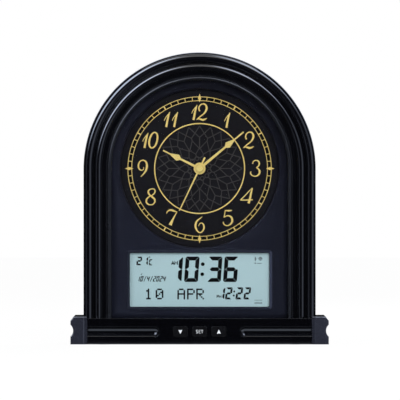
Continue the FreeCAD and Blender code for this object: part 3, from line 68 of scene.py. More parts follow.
class Socket:
    """One shader value. Arithmetic on it adds Math nodes to its finish."""

    def __init__(self, finish, link):
        self.finish, self.link = finish, link

    def math(self, operation, *values):
        return self.finish.node("ShaderNodeMath", {"operation": operation}, dict(enumerate(values)))

    def __add__(self, other):
        return self.math("ADD", self, other)

    def __sub__(self, other):
        return self.math("SUBTRACT", self, other)

    def __rsub__(self, other):
        return self.math("SUBTRACT", other, self)

    def __mul__(self, other):
        return self.math("MULTIPLY", self, other)

    def __truediv__(self, other):
        return self.math("DIVIDE", self, other)

    def __rtruediv__(self, other):
        return self.math("DIVIDE", other, self)

    def above(self, level):
        return self.math("GREATER_THAN", self, level)

    def at_least(self, other):
        return self.math("MAXIMUM", self, other)

    def root(self):
        return self.math("SQRT", self)

    def size(self):
        return self.math("ABSOLUTE", self)

    __radd__ = __add__
    __rmul__ = __mul__


class Finish:
    """A material being mixed: its node tree and the Principled shader it ends in."""

    def __init__(self, name, **constants):
        self.material = bpy.data.materials.new(name)
        self.material.use_nodes = True
        self.tree = self.material.node_tree
        self.shader = self.tree.nodes["Principled BSDF"]
        self.paint(**constants)

    def feed(self, node, values):
        for key, value in values.items():
            if isinstance(value, Socket):
                self.tree.links.new(value.link, node.inputs[key])
            else:
                node.inputs[key].default_value = value

    def paint(self, **inputs):
        """Feeds inputs of the shader, named with underscores for spaces."""
        self.feed(self.shader, {key.replace("_", " "): value for key, value in inputs.items()})

    def node(self, kind, settings=None, values=None, output=0):
        made = self.tree.nodes.new(kind)
        for key, value in (settings or {}).items():
            setattr(made, key, value)
        self.feed(made, values or {})
        return Socket(self, made.outputs[output])

    def place(self):
        """Place on the clock, in metres from its foot."""
        return self.node("ShaderNodeTexCoord", output="Object")

    def noise(self, per_metre, detail=3.0, roughness=0.5, vector=None):
        return self.node("ShaderNodeTexNoise", {}, {
            "Vector": vector or self.place(), "Scale": per_metre, "Detail": detail,
            "Roughness": roughness})

    def axis(self, index):
        return self.node("ShaderNodeSeparateXYZ", {}, {"Vector": self.place()}, index)

    def blend(self, amount, first, second):
        """Mixes two colours: sockets 6 and 7 of the node take them and its output 2 gives the mix."""
        return self.node("ShaderNodeMix", {"data_type": "RGBA"}, {0: amount, 6: first, 7: second}, 2)

    def relief(self, height, depth_mm, strength=1.0):
        self.paint(Normal=self.node("ShaderNodeBump", {}, {
            "Height": height, "Distance": depth_mm * MM, "Strength": strength}))

    def ray(self, output):
        return self.node("ShaderNodeLightPath", output=output)

    def choose(self, share, first, second):
        """The first shader where the share is 0 and the second where it is 1."""
        return self.node("ShaderNodeMixShader", {}, {0: share, 1: first, 2: second})

    def swap(self, share, second):
        """Gives the material another shader by a share of its rays."""
        whole = self.choose(share, Socket(self, self.shader.outputs[0]), second)
        self.feed(self.tree.nodes["Material Output"], {"Surface": whole})


def shade(red, green, blue):
    """A colour as the eye reads it, 0 to 255, in the renderer's linear scale."""
    return tuple((c / 12.92 if c <= 0.04045 else ((c + 0.055) / 1.055) ** 2.4)
                 for c in (red / 255, green / 255, blue / 255)) + (1.0,)


def polished_black(name, tint, second=shade(5, 5, 8), lustre=1.0, dull_with_painted_sheen_within=None, top_z=None):
    """Moulded high-gloss ABS: faint flow marks in its gloss and the slow ripple of a polished tool.

    Within a radius of the arch it can be dull and painted a lighter grey-blue as a painted sheen; above
    a height its top can be painted near black as a painted dark reflection, with a painted highlight
    along the edge below it."""
    finish = Finish(name, Coat_Weight=lustre, Coat_Roughness=0.06, Coat_IOR=1.5,
                    Specular_IOR_Level=lustre / 2)
    cloud = finish.noise(28.0, 2.0)
    dust = finish.noise(2600.0, 2.0, 0.6).above(0.69)
    gloss = cloud * 0.05 + dust * 0.12 + 0.1
    colour = finish.blend(cloud, tint, second)
    # Inside the radius the lip is rougher and loses its coat, and a lighter grey-blue is painted in as
    # the lip's sheen.
    if dull_with_painted_sheen_within:
        across, rise = finish.axis(0), (finish.axis(2) - ARCH_Z * MM).at_least(0.0)
        outside = (across * across + rise * rise).root().above(dull_with_painted_sheen_within * MM)
        gloss = gloss + (1.0 - outside) * 0.14
        colour = finish.blend(outside, shade(12, 13, 17), colour)
        finish.paint(Coat_Weight=outside)
    # The top is painted near black as a painted dark reflection, and a lighter band just below it is a
    # painted highlight along the edge.
    if top_z:
        on_top, painted_highlight_edge = [(finish.axis(2) - (top_z - drop) * MM).above(0.0) for drop in (0.15, 0.62)]
        colour = finish.blend(painted_highlight_edge, colour, shade(104, 107, 116))
        colour = finish.blend(on_top, colour, shade(4, 4, 6))
        gloss = gloss - on_top * 0.09
        finish.paint(Coat_Weight=1.0 - on_top)
    finish.paint(Base_Color=colour, Roughness=gloss)
    finish.relief(finish.noise(60.0, 1.0), 0.004, 0.3)
    return finish.material


def put(name, data):
    """A new object of the scene that holds the given data."""
    made = bpy.data.objects.new(name, data)
    bpy.context.scene.collection.objects.link(made)
    return made


def build_piece(name, mesh, body, slot, finish, replaces=(), sharp=32.0, bevel=0.0, segments=2, wall=0.0,
                even=False):
    """Hands a finished bmesh over as one piece of the clock, shaded smooth up to its sharp edges."""
    bmesh.ops.remove_doubles(mesh, verts=mesh.verts, dist=0.0004 * MM)
    bmesh.ops.recalc_face_normals(mesh, faces=mesh.faces)
    data = bpy.data.meshes.new(name)
    mesh.to_mesh(data)
    mesh.free()
    data.shade_smooth()
    data.set_sharp_from_angle(angle=math.radians(sharp))
    data.materials.append(finish)
    piece = put(name, data)
    if wall:
        shell = piece.modifiers.new("moulded_wall", "SOLIDIFY")
        shell.thickness, shell.offset, shell.use_even_offset = wall * MM, -1.0, True
    if bevel:
        edge = piece.modifiers.new("tool_radius", "BEVEL")
        edge.width, edge.segments, edge.limit_method = bevel * MM, segments, "ANGLE"
        edge.angle_limit = math.radians(sharp)
    if bevel or even:
        shading = piece.modifiers.new("even_shading", "WEIGHTED_NORMAL")
        shading.keep_sharp, shading.weight = True, 100
    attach(piece, body)
    if replaces:
        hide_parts(*replaces)
    return piece


def loop_of(mesh, points, closed=True):
    """A chain of edges through points, given in millimetres."""
    corners = [mesh.verts.new(Vector(point) * MM) for point in points]
    ends = corners[1:] + corners[:1] if closed else corners[1:]
    return [mesh.edges.new(pair) for pair in zip(corners, ends)]


def rounded_outline(x, z, width, height, corner, y, steps=8):
    """Points of a rectangle with rounded corners that faces the viewer."""
    points = []
    for turn, (sx, sz) in enumerate(((1, 1), (-1, 1), (-1, -1), (1, -1))):
        cx, cz = x + sx * (width / 2 - corner), z + sz * (height / 2 - corner)
        for step in range(steps + 1):
            angle = math.radians(90.0 * (turn + step / steps))
            points.append((cx + corner * math.cos(angle), y, cz + corner * math.sin(angle)))
    return points


def flat_sheet(mesh, y):
    """Fills the flat area between all the open edges at one depth and leaves its openings free."""
    edges = [e for e in mesh.edges if len(e.link_faces) < 2
             and all(abs(v.co.y - y * MM) < TOUCH for v in e.verts)]
    bmesh.ops.triangle_fill(mesh, use_beauty=True, edges=edges, normal=(0, -1, 0))


def vertices_of(geometry):
    return [g for g in geometry if isinstance(g, bmesh.types.BMVert)]


def edges_of(geometry):
    return [g for g in geometry if isinstance(g, bmesh.types.BMEdge)]


def push(mesh, edges, offset):
    """Extrudes edges straight along an offset in millimetres and returns the far edges."""
    made = bmesh.ops.extrude_edge_only(mesh, edges=edges)["geom"]
    ends = set(vertices_of(made))
    bmesh.ops.translate(mesh, verts=list(ends), vec=Vector(offset) * MM)
    return [edge for edge in edges_of(made) if set(edge.verts) <= ends]


def revolve(mesh, edges, centre, axis, angle, steps):
    """Turns a chain of edges about a centre in millimetres and returns its last copy."""
    made = bmesh.ops.spin(mesh, geom=edges + list({v for e in edges for v in e.verts}),
                          cent=Vector(centre) * MM, axis=axis, angle=angle, steps=steps,
                          use_merge=angle > math.pi)
    return edges_of(made["geom_last"])


def roll(mesh, edges, radius, segments):
    """Rounds edges by a radius in millimetres, or slopes them in a single segment."""
    bmesh.ops.bevel(mesh, geom=edges, offset=radius * MM, segments=segments, profile=0.5,
                    affect="EDGES", material=-1)


base_mesh = bmesh.new()
bmesh.ops.create_cube(base_mesh, size=1.0)
bmesh.ops.scale(base_mesh, verts=base_mesh.verts,
                vec=Vector((2 * FASCIA_HALF, BASE_BACK_Y - FASCIA_Y, DECK_Z - BASE_LOW_Z)) * MM)
bmesh.ops.translate(base_mesh, verts=base_mesh.verts,
                    vec=Vector((0, (BASE_BACK_Y + FASCIA_Y) / 2, (DECK_Z + BASE_LOW_Z) / 2)) * MM)
long_edges = [e for e in base_mesh.edges if abs(e.verts[0].co.x - e.verts[1].co.x) > FASCIA_HALF * MM
              and e.verts[0].co.z > FLUTE_Z * MM]
roll(base_mesh, long_edges, EDGE_ROLL, 5)
front_face = max(base_mesh.faces, key=lambda face: -face.normal.y)
under_face = max(base_mesh.faces, key=lambda face: -face.normal.z)
bmesh.ops.delete(base_mesh, geom=[front_face, under_face], context="FACES_ONLY")
flute_axis_y = FASCIA_Y - math.sqrt(FLUTE_RADIUS ** 2 - FLUTE_HALF ** 2)
for side in (-1, 1):
    end_x = side * FLUTE_END_X
    section = [(end_x, flute_axis_y + math.sqrt(FLUTE_RADIUS ** 2 - z * z), FLUTE_Z + z)
               for z in (FLUTE_HALF * step / 12 for step in range(13))]
    spoke = loop_of(base_mesh, section, closed=False)
    last = revolve(base_mesh, spoke, (end_x, 0, FLUTE_Z), (0, -side, 0), math.pi, 24)
    mouth = push(base_mesh, spoke + last, (side * (FLUTE_STOP_X - FLUTE_END_X), 0, 0))
    rims = {v for e in mouth for v in e.verts if abs(v.co.y - FASCIA_Y * MM) < TOUCH}
    base_mesh.edges.new(sorted(rims, key=lambda v: v.co.z))
    poles = [v for v in base_mesh.verts if abs(v.co.z - FLUTE_Z * MM) < TOUCH and side * v.co.x > 0]
    bmesh.ops.remove_doubles(base_mesh, verts=poles, dist=0.001 * MM)
bmesh.ops.remove_doubles(base_mesh, verts=base_mesh.verts, dist=TOUCH)
for side in (-1, 1):
    wall = [e for e in base_mesh.edges
            if all(abs(v.co.x - side * FLUTE_STOP_X * MM) < TOUCH for v in e.verts)]
    bmesh.ops.edgeloop_fill(base_mesh, edges=wall)
for x in KEY_XS:
    loop_of(base_mesh, rounded_outline(x, KEY_Z, *KEY_HOLE, FASCIA_Y))
flat_sheet(base_mesh, FASCIA_Y)
base_piece = build_piece("fluted_base", base_mesh, "clock_case", "gloss_black",
                         polished_black("gloss_black", shade(2, 2, 4), lustre=0.6), ["base_housing"],
                         wall=BASE_WALL, bevel=0.2)

# Three setting keys. Soft grey-black caps moulded in a matt plastic, each printed in white with its
# mark: a downward arrow, the word for setting, an upward arrow. They slide straight back on their stems.
KEY_FACE_Y = -29.3
PRINT_HEIGHT = 0.05
LETTER_PEN = 0.38
LETTER_RISE = 0.15
SET_LETTERS = (
    (-1.95, 6, [[(0.6, 0.95), (0.1, 1.15), (-0.5, 0.87), (-0.5, 0.27), (0.1, 0.0), (0.58, -0.32),
                 (0.52, -0.9), (-0.05, -1.15), (-0.62, -0.92)]]),
    (0.0, 1, [[(0.58, 1.1), (-0.55, 1.1), (-0.55, -1.1), (0.58, -1.1)], [(-0.55, 0.05), (0.45, 0.05)]]),
    (1.9, 1, [[(-0.78, 1.1), (0.78, 1.1)], [(0, 1.1), (0, -1.25)]]))
ARROW_HALF = 1.5
ARROW_NOTCH = 1.1
ARROW_TIP = 1.6


def merged_copy(node):
    """The solid of a CAD node as a bmesh, with its loose triangles joined into flat faces."""
    mesh = bmesh.new()
    mesh.from_mesh(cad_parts[node].data)
    bmesh.ops.remove_doubles(mesh, verts=mesh.verts, dist=0.002 * MM)
    bmesh.ops.dissolve_limit(mesh, angle_limit=math.radians(0.4), verts=mesh.verts, edges=mesh.edges)
    return mesh


def remake(name, node, body, slot, finish, **shading):
    """Puts a piece with the small radii of its tool in place of a CAD node of the same shape."""
    build_piece(name, merged_copy(node), body, slot, finish, [node], **shading)


def flecked(name, first, second, per_metre, detail=2.0, vary=0.15, least=0.35, depth=0.01,
            strength=0.5, fineness=0.5, **constants):
    """A finish whose colour, gloss and relief all follow one fine noise."""
    finish = Finish(name, **constants)
    fleck = finish.noise(per_metre, detail, fineness)
    finish.paint(Base_Color=finish.blend(fleck, first, second), Roughness=fleck * vary + least)
    finish.relief(fleck, depth, strength)
    return finish.material


def brush(strokes, flatness, sides=2, grain=6, closed=False, weight=1.0):
    """Lines of varying width as one bmesh. A stroke is a list of (x, z, width) in millimetres."""
    path = bpy.data.curves.new("brush", "CURVE")
    path.dimensions, path.bevel_depth, path.bevel_resolution = "3D", 1.0, sides
    path.use_fill_caps, path.resolution_u = not closed, grain
    for stroke in strokes:
        line = path.splines.new("BEZIER")
        line.bezier_points.add(len(stroke) - 1)
        line.use_cyclic_u = closed
        for point, (x, z, width) in zip(line.bezier_points, stroke):
            point.co, point.radius = (x, 0, z), width * weight / 2
            point.handle_left_type = point.handle_right_type = "AUTO" if grain > 1 else "VECTOR"
    holder = put("brush", path)
    drawn = bpy.data.meshes.new_from_object(holder.evaluated_get(bpy.context.evaluated_depsgraph_get()))
    mesh = bmesh.new()
    mesh.from_mesh(drawn)
    bpy.data.objects.remove(holder)
    bpy.data.curves.remove(path)
    bpy.data.meshes.remove(drawn)
    bmesh.ops.scale(mesh, verts=mesh.verts, vec=(MM, MM * flatness, MM))
    return mesh


def stamp(target, source, offset):
    """Adds a bmesh to another one, moved by an offset in millimetres."""
    bmesh.ops.translate(source, verts=source.verts, vec=Vector(offset) * MM)
    carrier = bpy.data.meshes.new("carrier")
    source.to_mesh(carrier)
    source.free()
    target.from_mesh(carrier)
    bpy.data.meshes.remove(carrier)


def raised_face(mesh, corners, height):
    """A flat polygon that stands toward the viewer by a height in millimetres, with its walls."""
    face = bmesh.ops.contextual_create(mesh, geom=loop_of(mesh, corners))["faces"]
    raised = bmesh.ops.extrude_face_region(mesh, geom=face)["geom"]
    bmesh.ops.translate(mesh, verts=vertices_of(raised), vec=(0, -height * MM, 0))


key_grey = flecked("key_grey", shade(8, 8, 10), shade(13, 13, 15), 5200.0, 3.0, vary=0.12, least=0.2,
                   depth=0.012, strength=0.7, fineness=0.6, Specular_IOR_Level=0.25)
key_print = flecked("key_print", shade(196, 200, 205), shade(228, 231, 235), 7000.0, vary=0.2, least=0.4)
for name, x in zip(("down_key", "set_key", "up_key"), KEY_XS):
    remake("cap_of_" + name, name, name + "_set", "key_grey", key_grey, bevel=0.32, segments=3)
    mark = bmesh.new()
    if name == "set_key":
        for offset, grain, letter in SET_LETTERS:
            strokes = [[point + (LETTER_PEN,) for point in stroke] for stroke in letter]
            stamp(mark, brush(strokes, 0.12, grain=grain, weight=0.85),
                  (x + offset, KEY_FACE_Y, KEY_Z + LETTER_RISE))
    else:
        up = -1 if name == "down_key" else 1
        raised_face(mark, [(x - ARROW_HALF, KEY_FACE_Y, KEY_Z - up * ARROW_HALF),
                           (x, KEY_FACE_Y, KEY_Z - up * ARROW_NOTCH),
                           (x + ARROW_HALF, KEY_FACE_Y, KEY_Z - up * ARROW_HALF),
                           (x, KEY_FACE_Y, KEY_Z + up * ARROW_TIP)], PRINT_HEIGHT)
    build_piece("mark_of_" + name, mark, name + "_set", "guide_white", key_print)

# End caps of the base. Two hollow blocks of the same polished black plastic, screwed on from below, that
# stand a little proud of the fascia and the deck. Each has a long hollow along its outer side.
CAP_SLOPE = 2.3
CAP_ROLL = 0.7
CAP_TOP_Z = 21.2
# The caps' grey-blue tint is lighter than the base's black as a painted reflection of the room in their
# front faces.
cap_black = polished_black("gloss_black_cap", shade(32, 34, 43), shade(40, 42, 52), top_z=CAP_TOP_Z)
for node in ("left_end_cap", "right_end_cap"):
    cap = merged_copy(node)
    low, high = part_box(node)
    inner_x = min(abs(low[0]), abs(high[0]))
    inner_edges = [e for e in cap.edges if all(
        abs(abs(v.co.x) - inner_x) < 0.05 * MM and abs(v.co.y - low[1]) < 0.05 * MM for v in e.verts)]
    sole = [v for v in cap.verts if v.co.z < low[2] + 0.01 * MM]
    bmesh.ops.translate(cap, verts=sole, vec=(0, 0, BASE_LOW_Z * MM - low[2]))
    crown = [v for v in cap.verts if v.co.z > high[2] - 0.01 * MM]
    bmesh.ops.translate(cap, verts=crown, vec=(0, 0, CAP_TOP_Z * MM - high[2]))
    roll(cap, inner_edges, CAP_SLOPE, 1)
    front_edges = [e for e in cap.edges if all(v.co.y < low[1] + 0.01 * MM for v in e.verts)
                   and len(e.link_faces) == 2 and e.calc_face_angle() > math.radians(20)]
    roll(cap, front_edges, CAP_ROLL, 4)
    build_piece("polished_" + node, cap, "clock_case", "gloss_black", cap_black, [node], sharp=28.0,
                even=True)

# Underside of the base. A ribbed bottom plate of unpolished black plastic, its countersunk steel screws,
# and four round rubber feet pressed into their seats.
def grained_plastic(name, first, second, roughness=0.5, grain=0.03, per_metre=1500.0, **constants):
    """Moulded plastic straight from a spark-eroded tool: an even fine grain and slight flow clouds."""
    finish = Finish(name, **constants)
    fine = finish.noise(per_metre, 4.0, 0.65)
    cloud = finish.noise(45.0, 2.0)
    finish.paint(Base_Color=finish.blend(fine * 0.55 + cloud * 0.45, first, second),
                 Roughness=fine * 0.22 + cloud * 0.06 + (roughness - 0.14))
    finish.relief(fine, grain, 0.8)
    return finish.material


def brushed_metal(name, first, second, roughness, stretch=(1, 1, 1)):
    """Bare or plated metal with fine drawing lines and a few dull patches."""
    finish = Finish(name, Metallic=1.0)
    lines = finish.noise(900.0, 3.0, 0.6, finish.node("ShaderNodeMapping", {}, {
        "Vector": finish.place(), "Scale": stretch}))
    patches = finish.noise(220.0, 3.0)
    finish.paint(Base_Color=finish.blend(lines * 0.5 + patches * 0.5, first, second),
                 Roughness=lines * 0.15 + patches * 0.15 + (roughness - 0.12))
    finish.relief(lines, 0.008, 0.5)
    return finish.material


def dress(material, *nodes):
    """Gives CAD nodes whose shape stays their finish."""
    for node in nodes:
        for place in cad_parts[node].material_slots:
            place.material = material


case_black = grained_plastic("case_black", shade(20, 20, 23), shade(34, 35, 39))
screw_steel = brushed_metal("screw_steel", shade(128, 130, 134), shade(186, 188, 192), 0.32)
foot_rubber = grained_plastic("foot_rubber", shade(22, 22, 23), shade(38, 38, 40), 0.85, 0.05, 900.0,
                              Specular_IOR_Level=0.25)
remake("bottom_plate", "base_bottom", "clock_case", "case_black", case_black, bevel=0.3)
for node in ("base_screws", "cover_screws", "small_screws", "movement_screws", "speaker_screws"):
    remake("turned_" + node, node, "clock_case", "screw_steel", screw_steel, sharp=30.0, bevel=0.12)
remake("pressed_feet", "rubber_feet", "clock_case", "foot_rubber", foot_rubber, bevel=0.35, segments=3)

# Electronics inside. Green glass-fibre boards with black moulded components, tinned contacts, rubber
# contact strips and coloured silicone leads, all soldered or clipped before the case is closed.
board_finish = Finish("board_green")
weave = board_finish.noise(1800.0, 2.0)
tracks = board_finish.node("ShaderNodeTexVoronoi", {"distance": "CHEBYCHEV"}, {
    "Vector": board_finish.place(), "Scale": 260.0}).above(0.42)
lacquered = board_finish.blend(weave, shade(14, 70, 44), shade(20, 84, 52))
board_finish.paint(Base_Color=board_finish.blend(tracks, lacquered, shade(34, 112, 70)),
                   Roughness=weave * 0.15 + 0.3)
board_finish.relief(tracks, 0.03, 0.6)
dress(board_finish.material, "key_board", "main_board", "volume_board", "movement_circuit")
dress(grained_plastic("component_black", shade(20, 20, 22), shade(34, 34, 36), 0.5, 0.02, 2600.0),
      "key_switches", "board_components", "volume_switch", "down_switch_plunger", "set_switch_plunger",
      "up_switch_plunger")
dress(grained_plastic("strip_rubber", shade(92, 94, 98), shade(120, 122, 126), 0.75, 0.03, 2400.0),
      "contact_strips")
dress(grained_plastic("guide_white", shade(214, 218, 220), shade(236, 239, 240), 0.35, 0.01, 1200.0),
      "light_guide")
lead_red = flecked("lead_red", shade(142, 22, 20), shade(176, 34, 30), 1400.0, 3.0, vary=0.2, depth=0.02,
                   Specular_IOR_Level=0.45)
for node in ("movement_leads", "speaker_leads", "key_leads", "battery_leads"):
    remake("insulated_" + node, node, "clock_case", "lead_red", lead_red, sharp=50.0)

# Display. A liquid-crystal cell in the bezel's window, pale blue-grey between its polarisers, with dark
# slanted segments for the time, the second time, the temperature, the date and a dot-matrix line.
CELL_FACE_Y = -6.15
ELECTRODE = 0.04
GRID_X = 199.6
GRID_Z = 344.45
GRID_PITCH = 0.7534
DOT_PITCH = 1.17
SEGMENTS_OF = {"0": "abcdef", "1": "bc", "2": "abged", "3": "abgcd", "4": "fgbc", "5": "afgcd",
               "6": "afgcde", "7": "abc", "8": "abcdefg", "9": "abcdfg", "C": "afed"}
DATE_COLUMNS = tuple(138.4 + 3.22 * place for place in range(9))
FIGURES = (
    ("1036", (175.3, 191.8, 214.7, 230.9), 269.6, (10.5, 19.2, 2.95, 0.07, 0.12, 0.95)),
    ("1222", (221.6, 228.9, 239.4, 247.4), 293.8, (4.85, 9.1, 1.5, 0.12, 0.14, 0.45)),
    ("21", (139.1, 145.2), 261.3, (4.0, 6.5, 1.2, 0.08, 0.12, 0.35)),
    ("C", (150.7,), 262.6, (2.7, 4.7, 0.95, 0.08, 0.08, 0.3)),
    ("10/4/2024", DATE_COLUMNS, 279.2, (1.95, 4.1, 0.72, 0.28, 0.02, 0.15)))
COLON_DOTS = ((202.8, 264.5, 1.42), (202.3, 274.6, 1.42), (234.3, 291.9, 0.72), (233.9, 295.9, 0.72))
MATRIX = {"1": "00100 01100 00100 00100 00100 00100 01110",
          "0": "01110 10001 10011 10101 11001 10001 01110",
          "A": "01110 10001 10001 11111 10001 10001 10001",
          "P": "11110 10001 10001 11110 10000 10000 10000",
          "R": "11110 10001 10001 11110 10100 10010 10001"}
MATRIX_COLUMNS = (("1", 148.35), ("0", 159.4), ("A", 181.2), ("P", 190.9), ("R", 200.1))
MATRIX_ROW = 294.4
SMALL_WORDS = (("AM", 174.4, 263.3, 2.3, 2.5), ("PM", 219.0, 296.9, 1.65, 1.75))
SMALL_LETTERS = {
    "A": [[(-0.42, -0.5), (0, 0.5), (0.42, -0.5)], [(-0.27, -0.15), (0.27, -0.15)]],
    "P": [[(-0.36, -0.5), (-0.36, 0.5), (0.36, 0.5), (0.36, 0.0), (-0.36, 0.0)]],
    "M": [[(-0.45, -0.5), (-0.45, 0.5), (0, -0.15), (0.45, 0.5), (0.45, -0.5)]]}
TICK_PLACE = (141.4, 274.6)
DEGREE_PLACE = (149.4, 257.6)
SYMBOL_PLACE = (258.6, 260.6)
GAUGE_PLACE = (258.4, 301.8)


def on_display(column, row):
    """Place on the display's face, in millimetres, from a column and a row of the front view's grid."""
    return (column - GRID_X) * GRID_PITCH, (GRID_Z - row) * GRID_PITCH


def circle(x, z, radius, steps, *width):
    """Points of a circle that faces the viewer, each with a pen width where one is given."""
    turns = [2 * math.pi * step / steps for step in range(steps)]
    return [(x + radius * math.cos(turn), z + radius * math.sin(turn)) + width for turn in turns]


def flat_shape(mesh, points, x, z, slant=0.0, thickness=ELECTRODE, y=CELL_FACE_Y):
    """A polygon leaned by the slant and raised from its ground by a thickness, as an electrode is."""
    raised_face(mesh, [(x + px + pz * slant, y - 0.005, z + pz) for px, pz in points], thickness)


def write(mesh, strokes, column, row, flatness=0.12, **how):
    """Brushed lines on the display's face, about a point of that grid."""
    x, z = on_display(column, row)
    stamp(mesh, brush(strokes, flatness, **how), (x, CELL_FACE_Y, z))


def digit(mesh, sign, x, z, width, height, bar, slant, gap, cut):
    """A seven-segment figure with mitred joints and clipped outer corners."""
    w, h, g = width / 2, height / 2, gap * 0.7
    roof = [(-w + g + cut, h), (w - g - cut, h), (w - g - cut / 2, h - cut / 2), (w - g - bar, h - bar),
            (-w + g + bar, h - bar), (-w + g + cut / 2, h - cut / 2)]
    post = [(w, h - g - cut), (w - cut / 2, h - g - cut / 2), (w - bar, h - g - bar),
            (w - bar, bar / 2 + gap), (w - bar * 0.45, gap * 1.3), (w, gap * 1.3)]
    middle = [(-w + bar, bar / 2), (w - bar, bar / 2), (w - bar / 2, 0), (w - bar, -bar / 2),
              (-w + bar, -bar / 2), (-w + bar / 2, 0)]
    shapes = {"a": roof, "g": middle, "b": post, "d": [(px, -pz) for px, pz in roof],
              "c": [(px, -pz) for px, pz in post], "f": [(-px, pz) for px, pz in post],
              "e": [(-px, -pz) for px, pz in post]}
    for key in SEGMENTS_OF[sign]:
        flat_shape(mesh, shapes[key], x, z, slant)


glass_finish = Finish("display_glass", Coat_Weight=0.6, Coat_Roughness=0.12, Specular_IOR_Level=0.5)
slope = glass_finish.axis(0) * 3.0 + glass_finish.axis(2) * 4.0 + 0.32
cell_cloud = glass_finish.noise(30.0, 2.0)
cell_grain = glass_finish.noise(4200.0, 2.0)
glass_finish.paint(Base_Color=glass_finish.blend(slope * 0.7 + cell_cloud * 0.3, shade(178, 208, 214),
                                                 shade(192, 219, 223)),
                   Roughness=cell_grain * 0.12 + 0.3)
glass_finish.relief(cell_grain, 0.006, 0.4)
dress(glass_finish.material, "display_cell")
signs = bmesh.new()
for text, columns, row, form in FIGURES:
    for sign, column in zip(text, columns):
        if sign == "/":
            write(signs, [[(-0.9, -2.0, 0.5), (0.9, 2.0, 0.5)]], column, row, grain=1)
        else:
            digit(signs, sign, *on_display(column, row), *form)
for column, row, radius in COLON_DOTS:
    flat_shape(signs, circle(0, 0, radius, 16), *on_display(column, row))
half = DOT_PITCH / 2
for sign, column in MATRIX_COLUMNS:
    x, z = on_display(column, MATRIX_ROW)
    for down, line in enumerate(MATRIX[sign].split()):
        for across, lit in enumerate(line):
            if lit == "1":
                flat_shape(signs, [(-half, -half), (half, -half), (half, half), (-half, half)],
                           x + (across - 2) * DOT_PITCH, z + (3 - down) * DOT_PITCH)
for word, column, row, wide, tall in SMALL_WORDS:
    for shift, letter in zip((-0.55, 0.55), word):
        lines = [[(wide * (a + shift), tall * b, tall * 0.36) for a, b in stroke]
                 for stroke in SMALL_LETTERS[letter]]
        write(signs, lines, column, row, 0.1, grain=1)
write(signs, [[(-0.5, -0.4, 0.5), (0.5, 0.5, 0.5)]], *TICK_PLACE, grain=1)
write(signs, [circle(0, 0, 0.45, 6, 0.3)], *DEGREE_PLACE, 0.15, closed=True)
segment_dark = flecked("segment_dark", shade(6, 7, 8), shade(12, 13, 14), 2400.0, depth=0.004,
                       strength=0.4, Specular_IOR_Level=0.1)
build_piece("display_segments", signs, "clock_case", "component_black", segment_dark)
icons = bmesh.new()
write(icons, [circle(1.5, 1.2, 1.15, 6, 0.45)], *SYMBOL_PLACE, closed=True)
write(icons, [[(0.0, 1.2, 0.4), (3.0, 1.2, 0.4)], [(1.5, -0.3, 0.4), (1.5, 2.7, 0.4)],
              [(-2.4, 2.6, 0.6), (-2.4, -0.6, 0.6)], [(-3.0, 1.0, 0.5), (-1.3, 1.0, 0.5)],
              [(-3.0, -2.2, 0.8), (-1.8, -2.2, 0.8)], [(-1.0, -2.4, 0.4), (2.4, -2.4, 0.4)]],
      *SYMBOL_PLACE, grain=1)
x, z = on_display(*GAUGE_PLACE)
for left in (0.98 * step - 2.75 for step in range(6)):
    for wide, foot, top in ((0.62, -1.75, -0.75), (0.7, 0.7, 1.15)):
        flat_shape(icons, [(left, foot), (left + wide, foot), (left + wide, top), (left, top)], x, z)
segment_faint = flecked("segment_faint", shade(60, 72, 78), shade(78, 90, 96), 2600.0, depth=0.004,
                        strength=0.4, Specular_IOR_Level=0.4)
build_piece("display_icons", icons, "clock_case", "component_black", segment_faint)

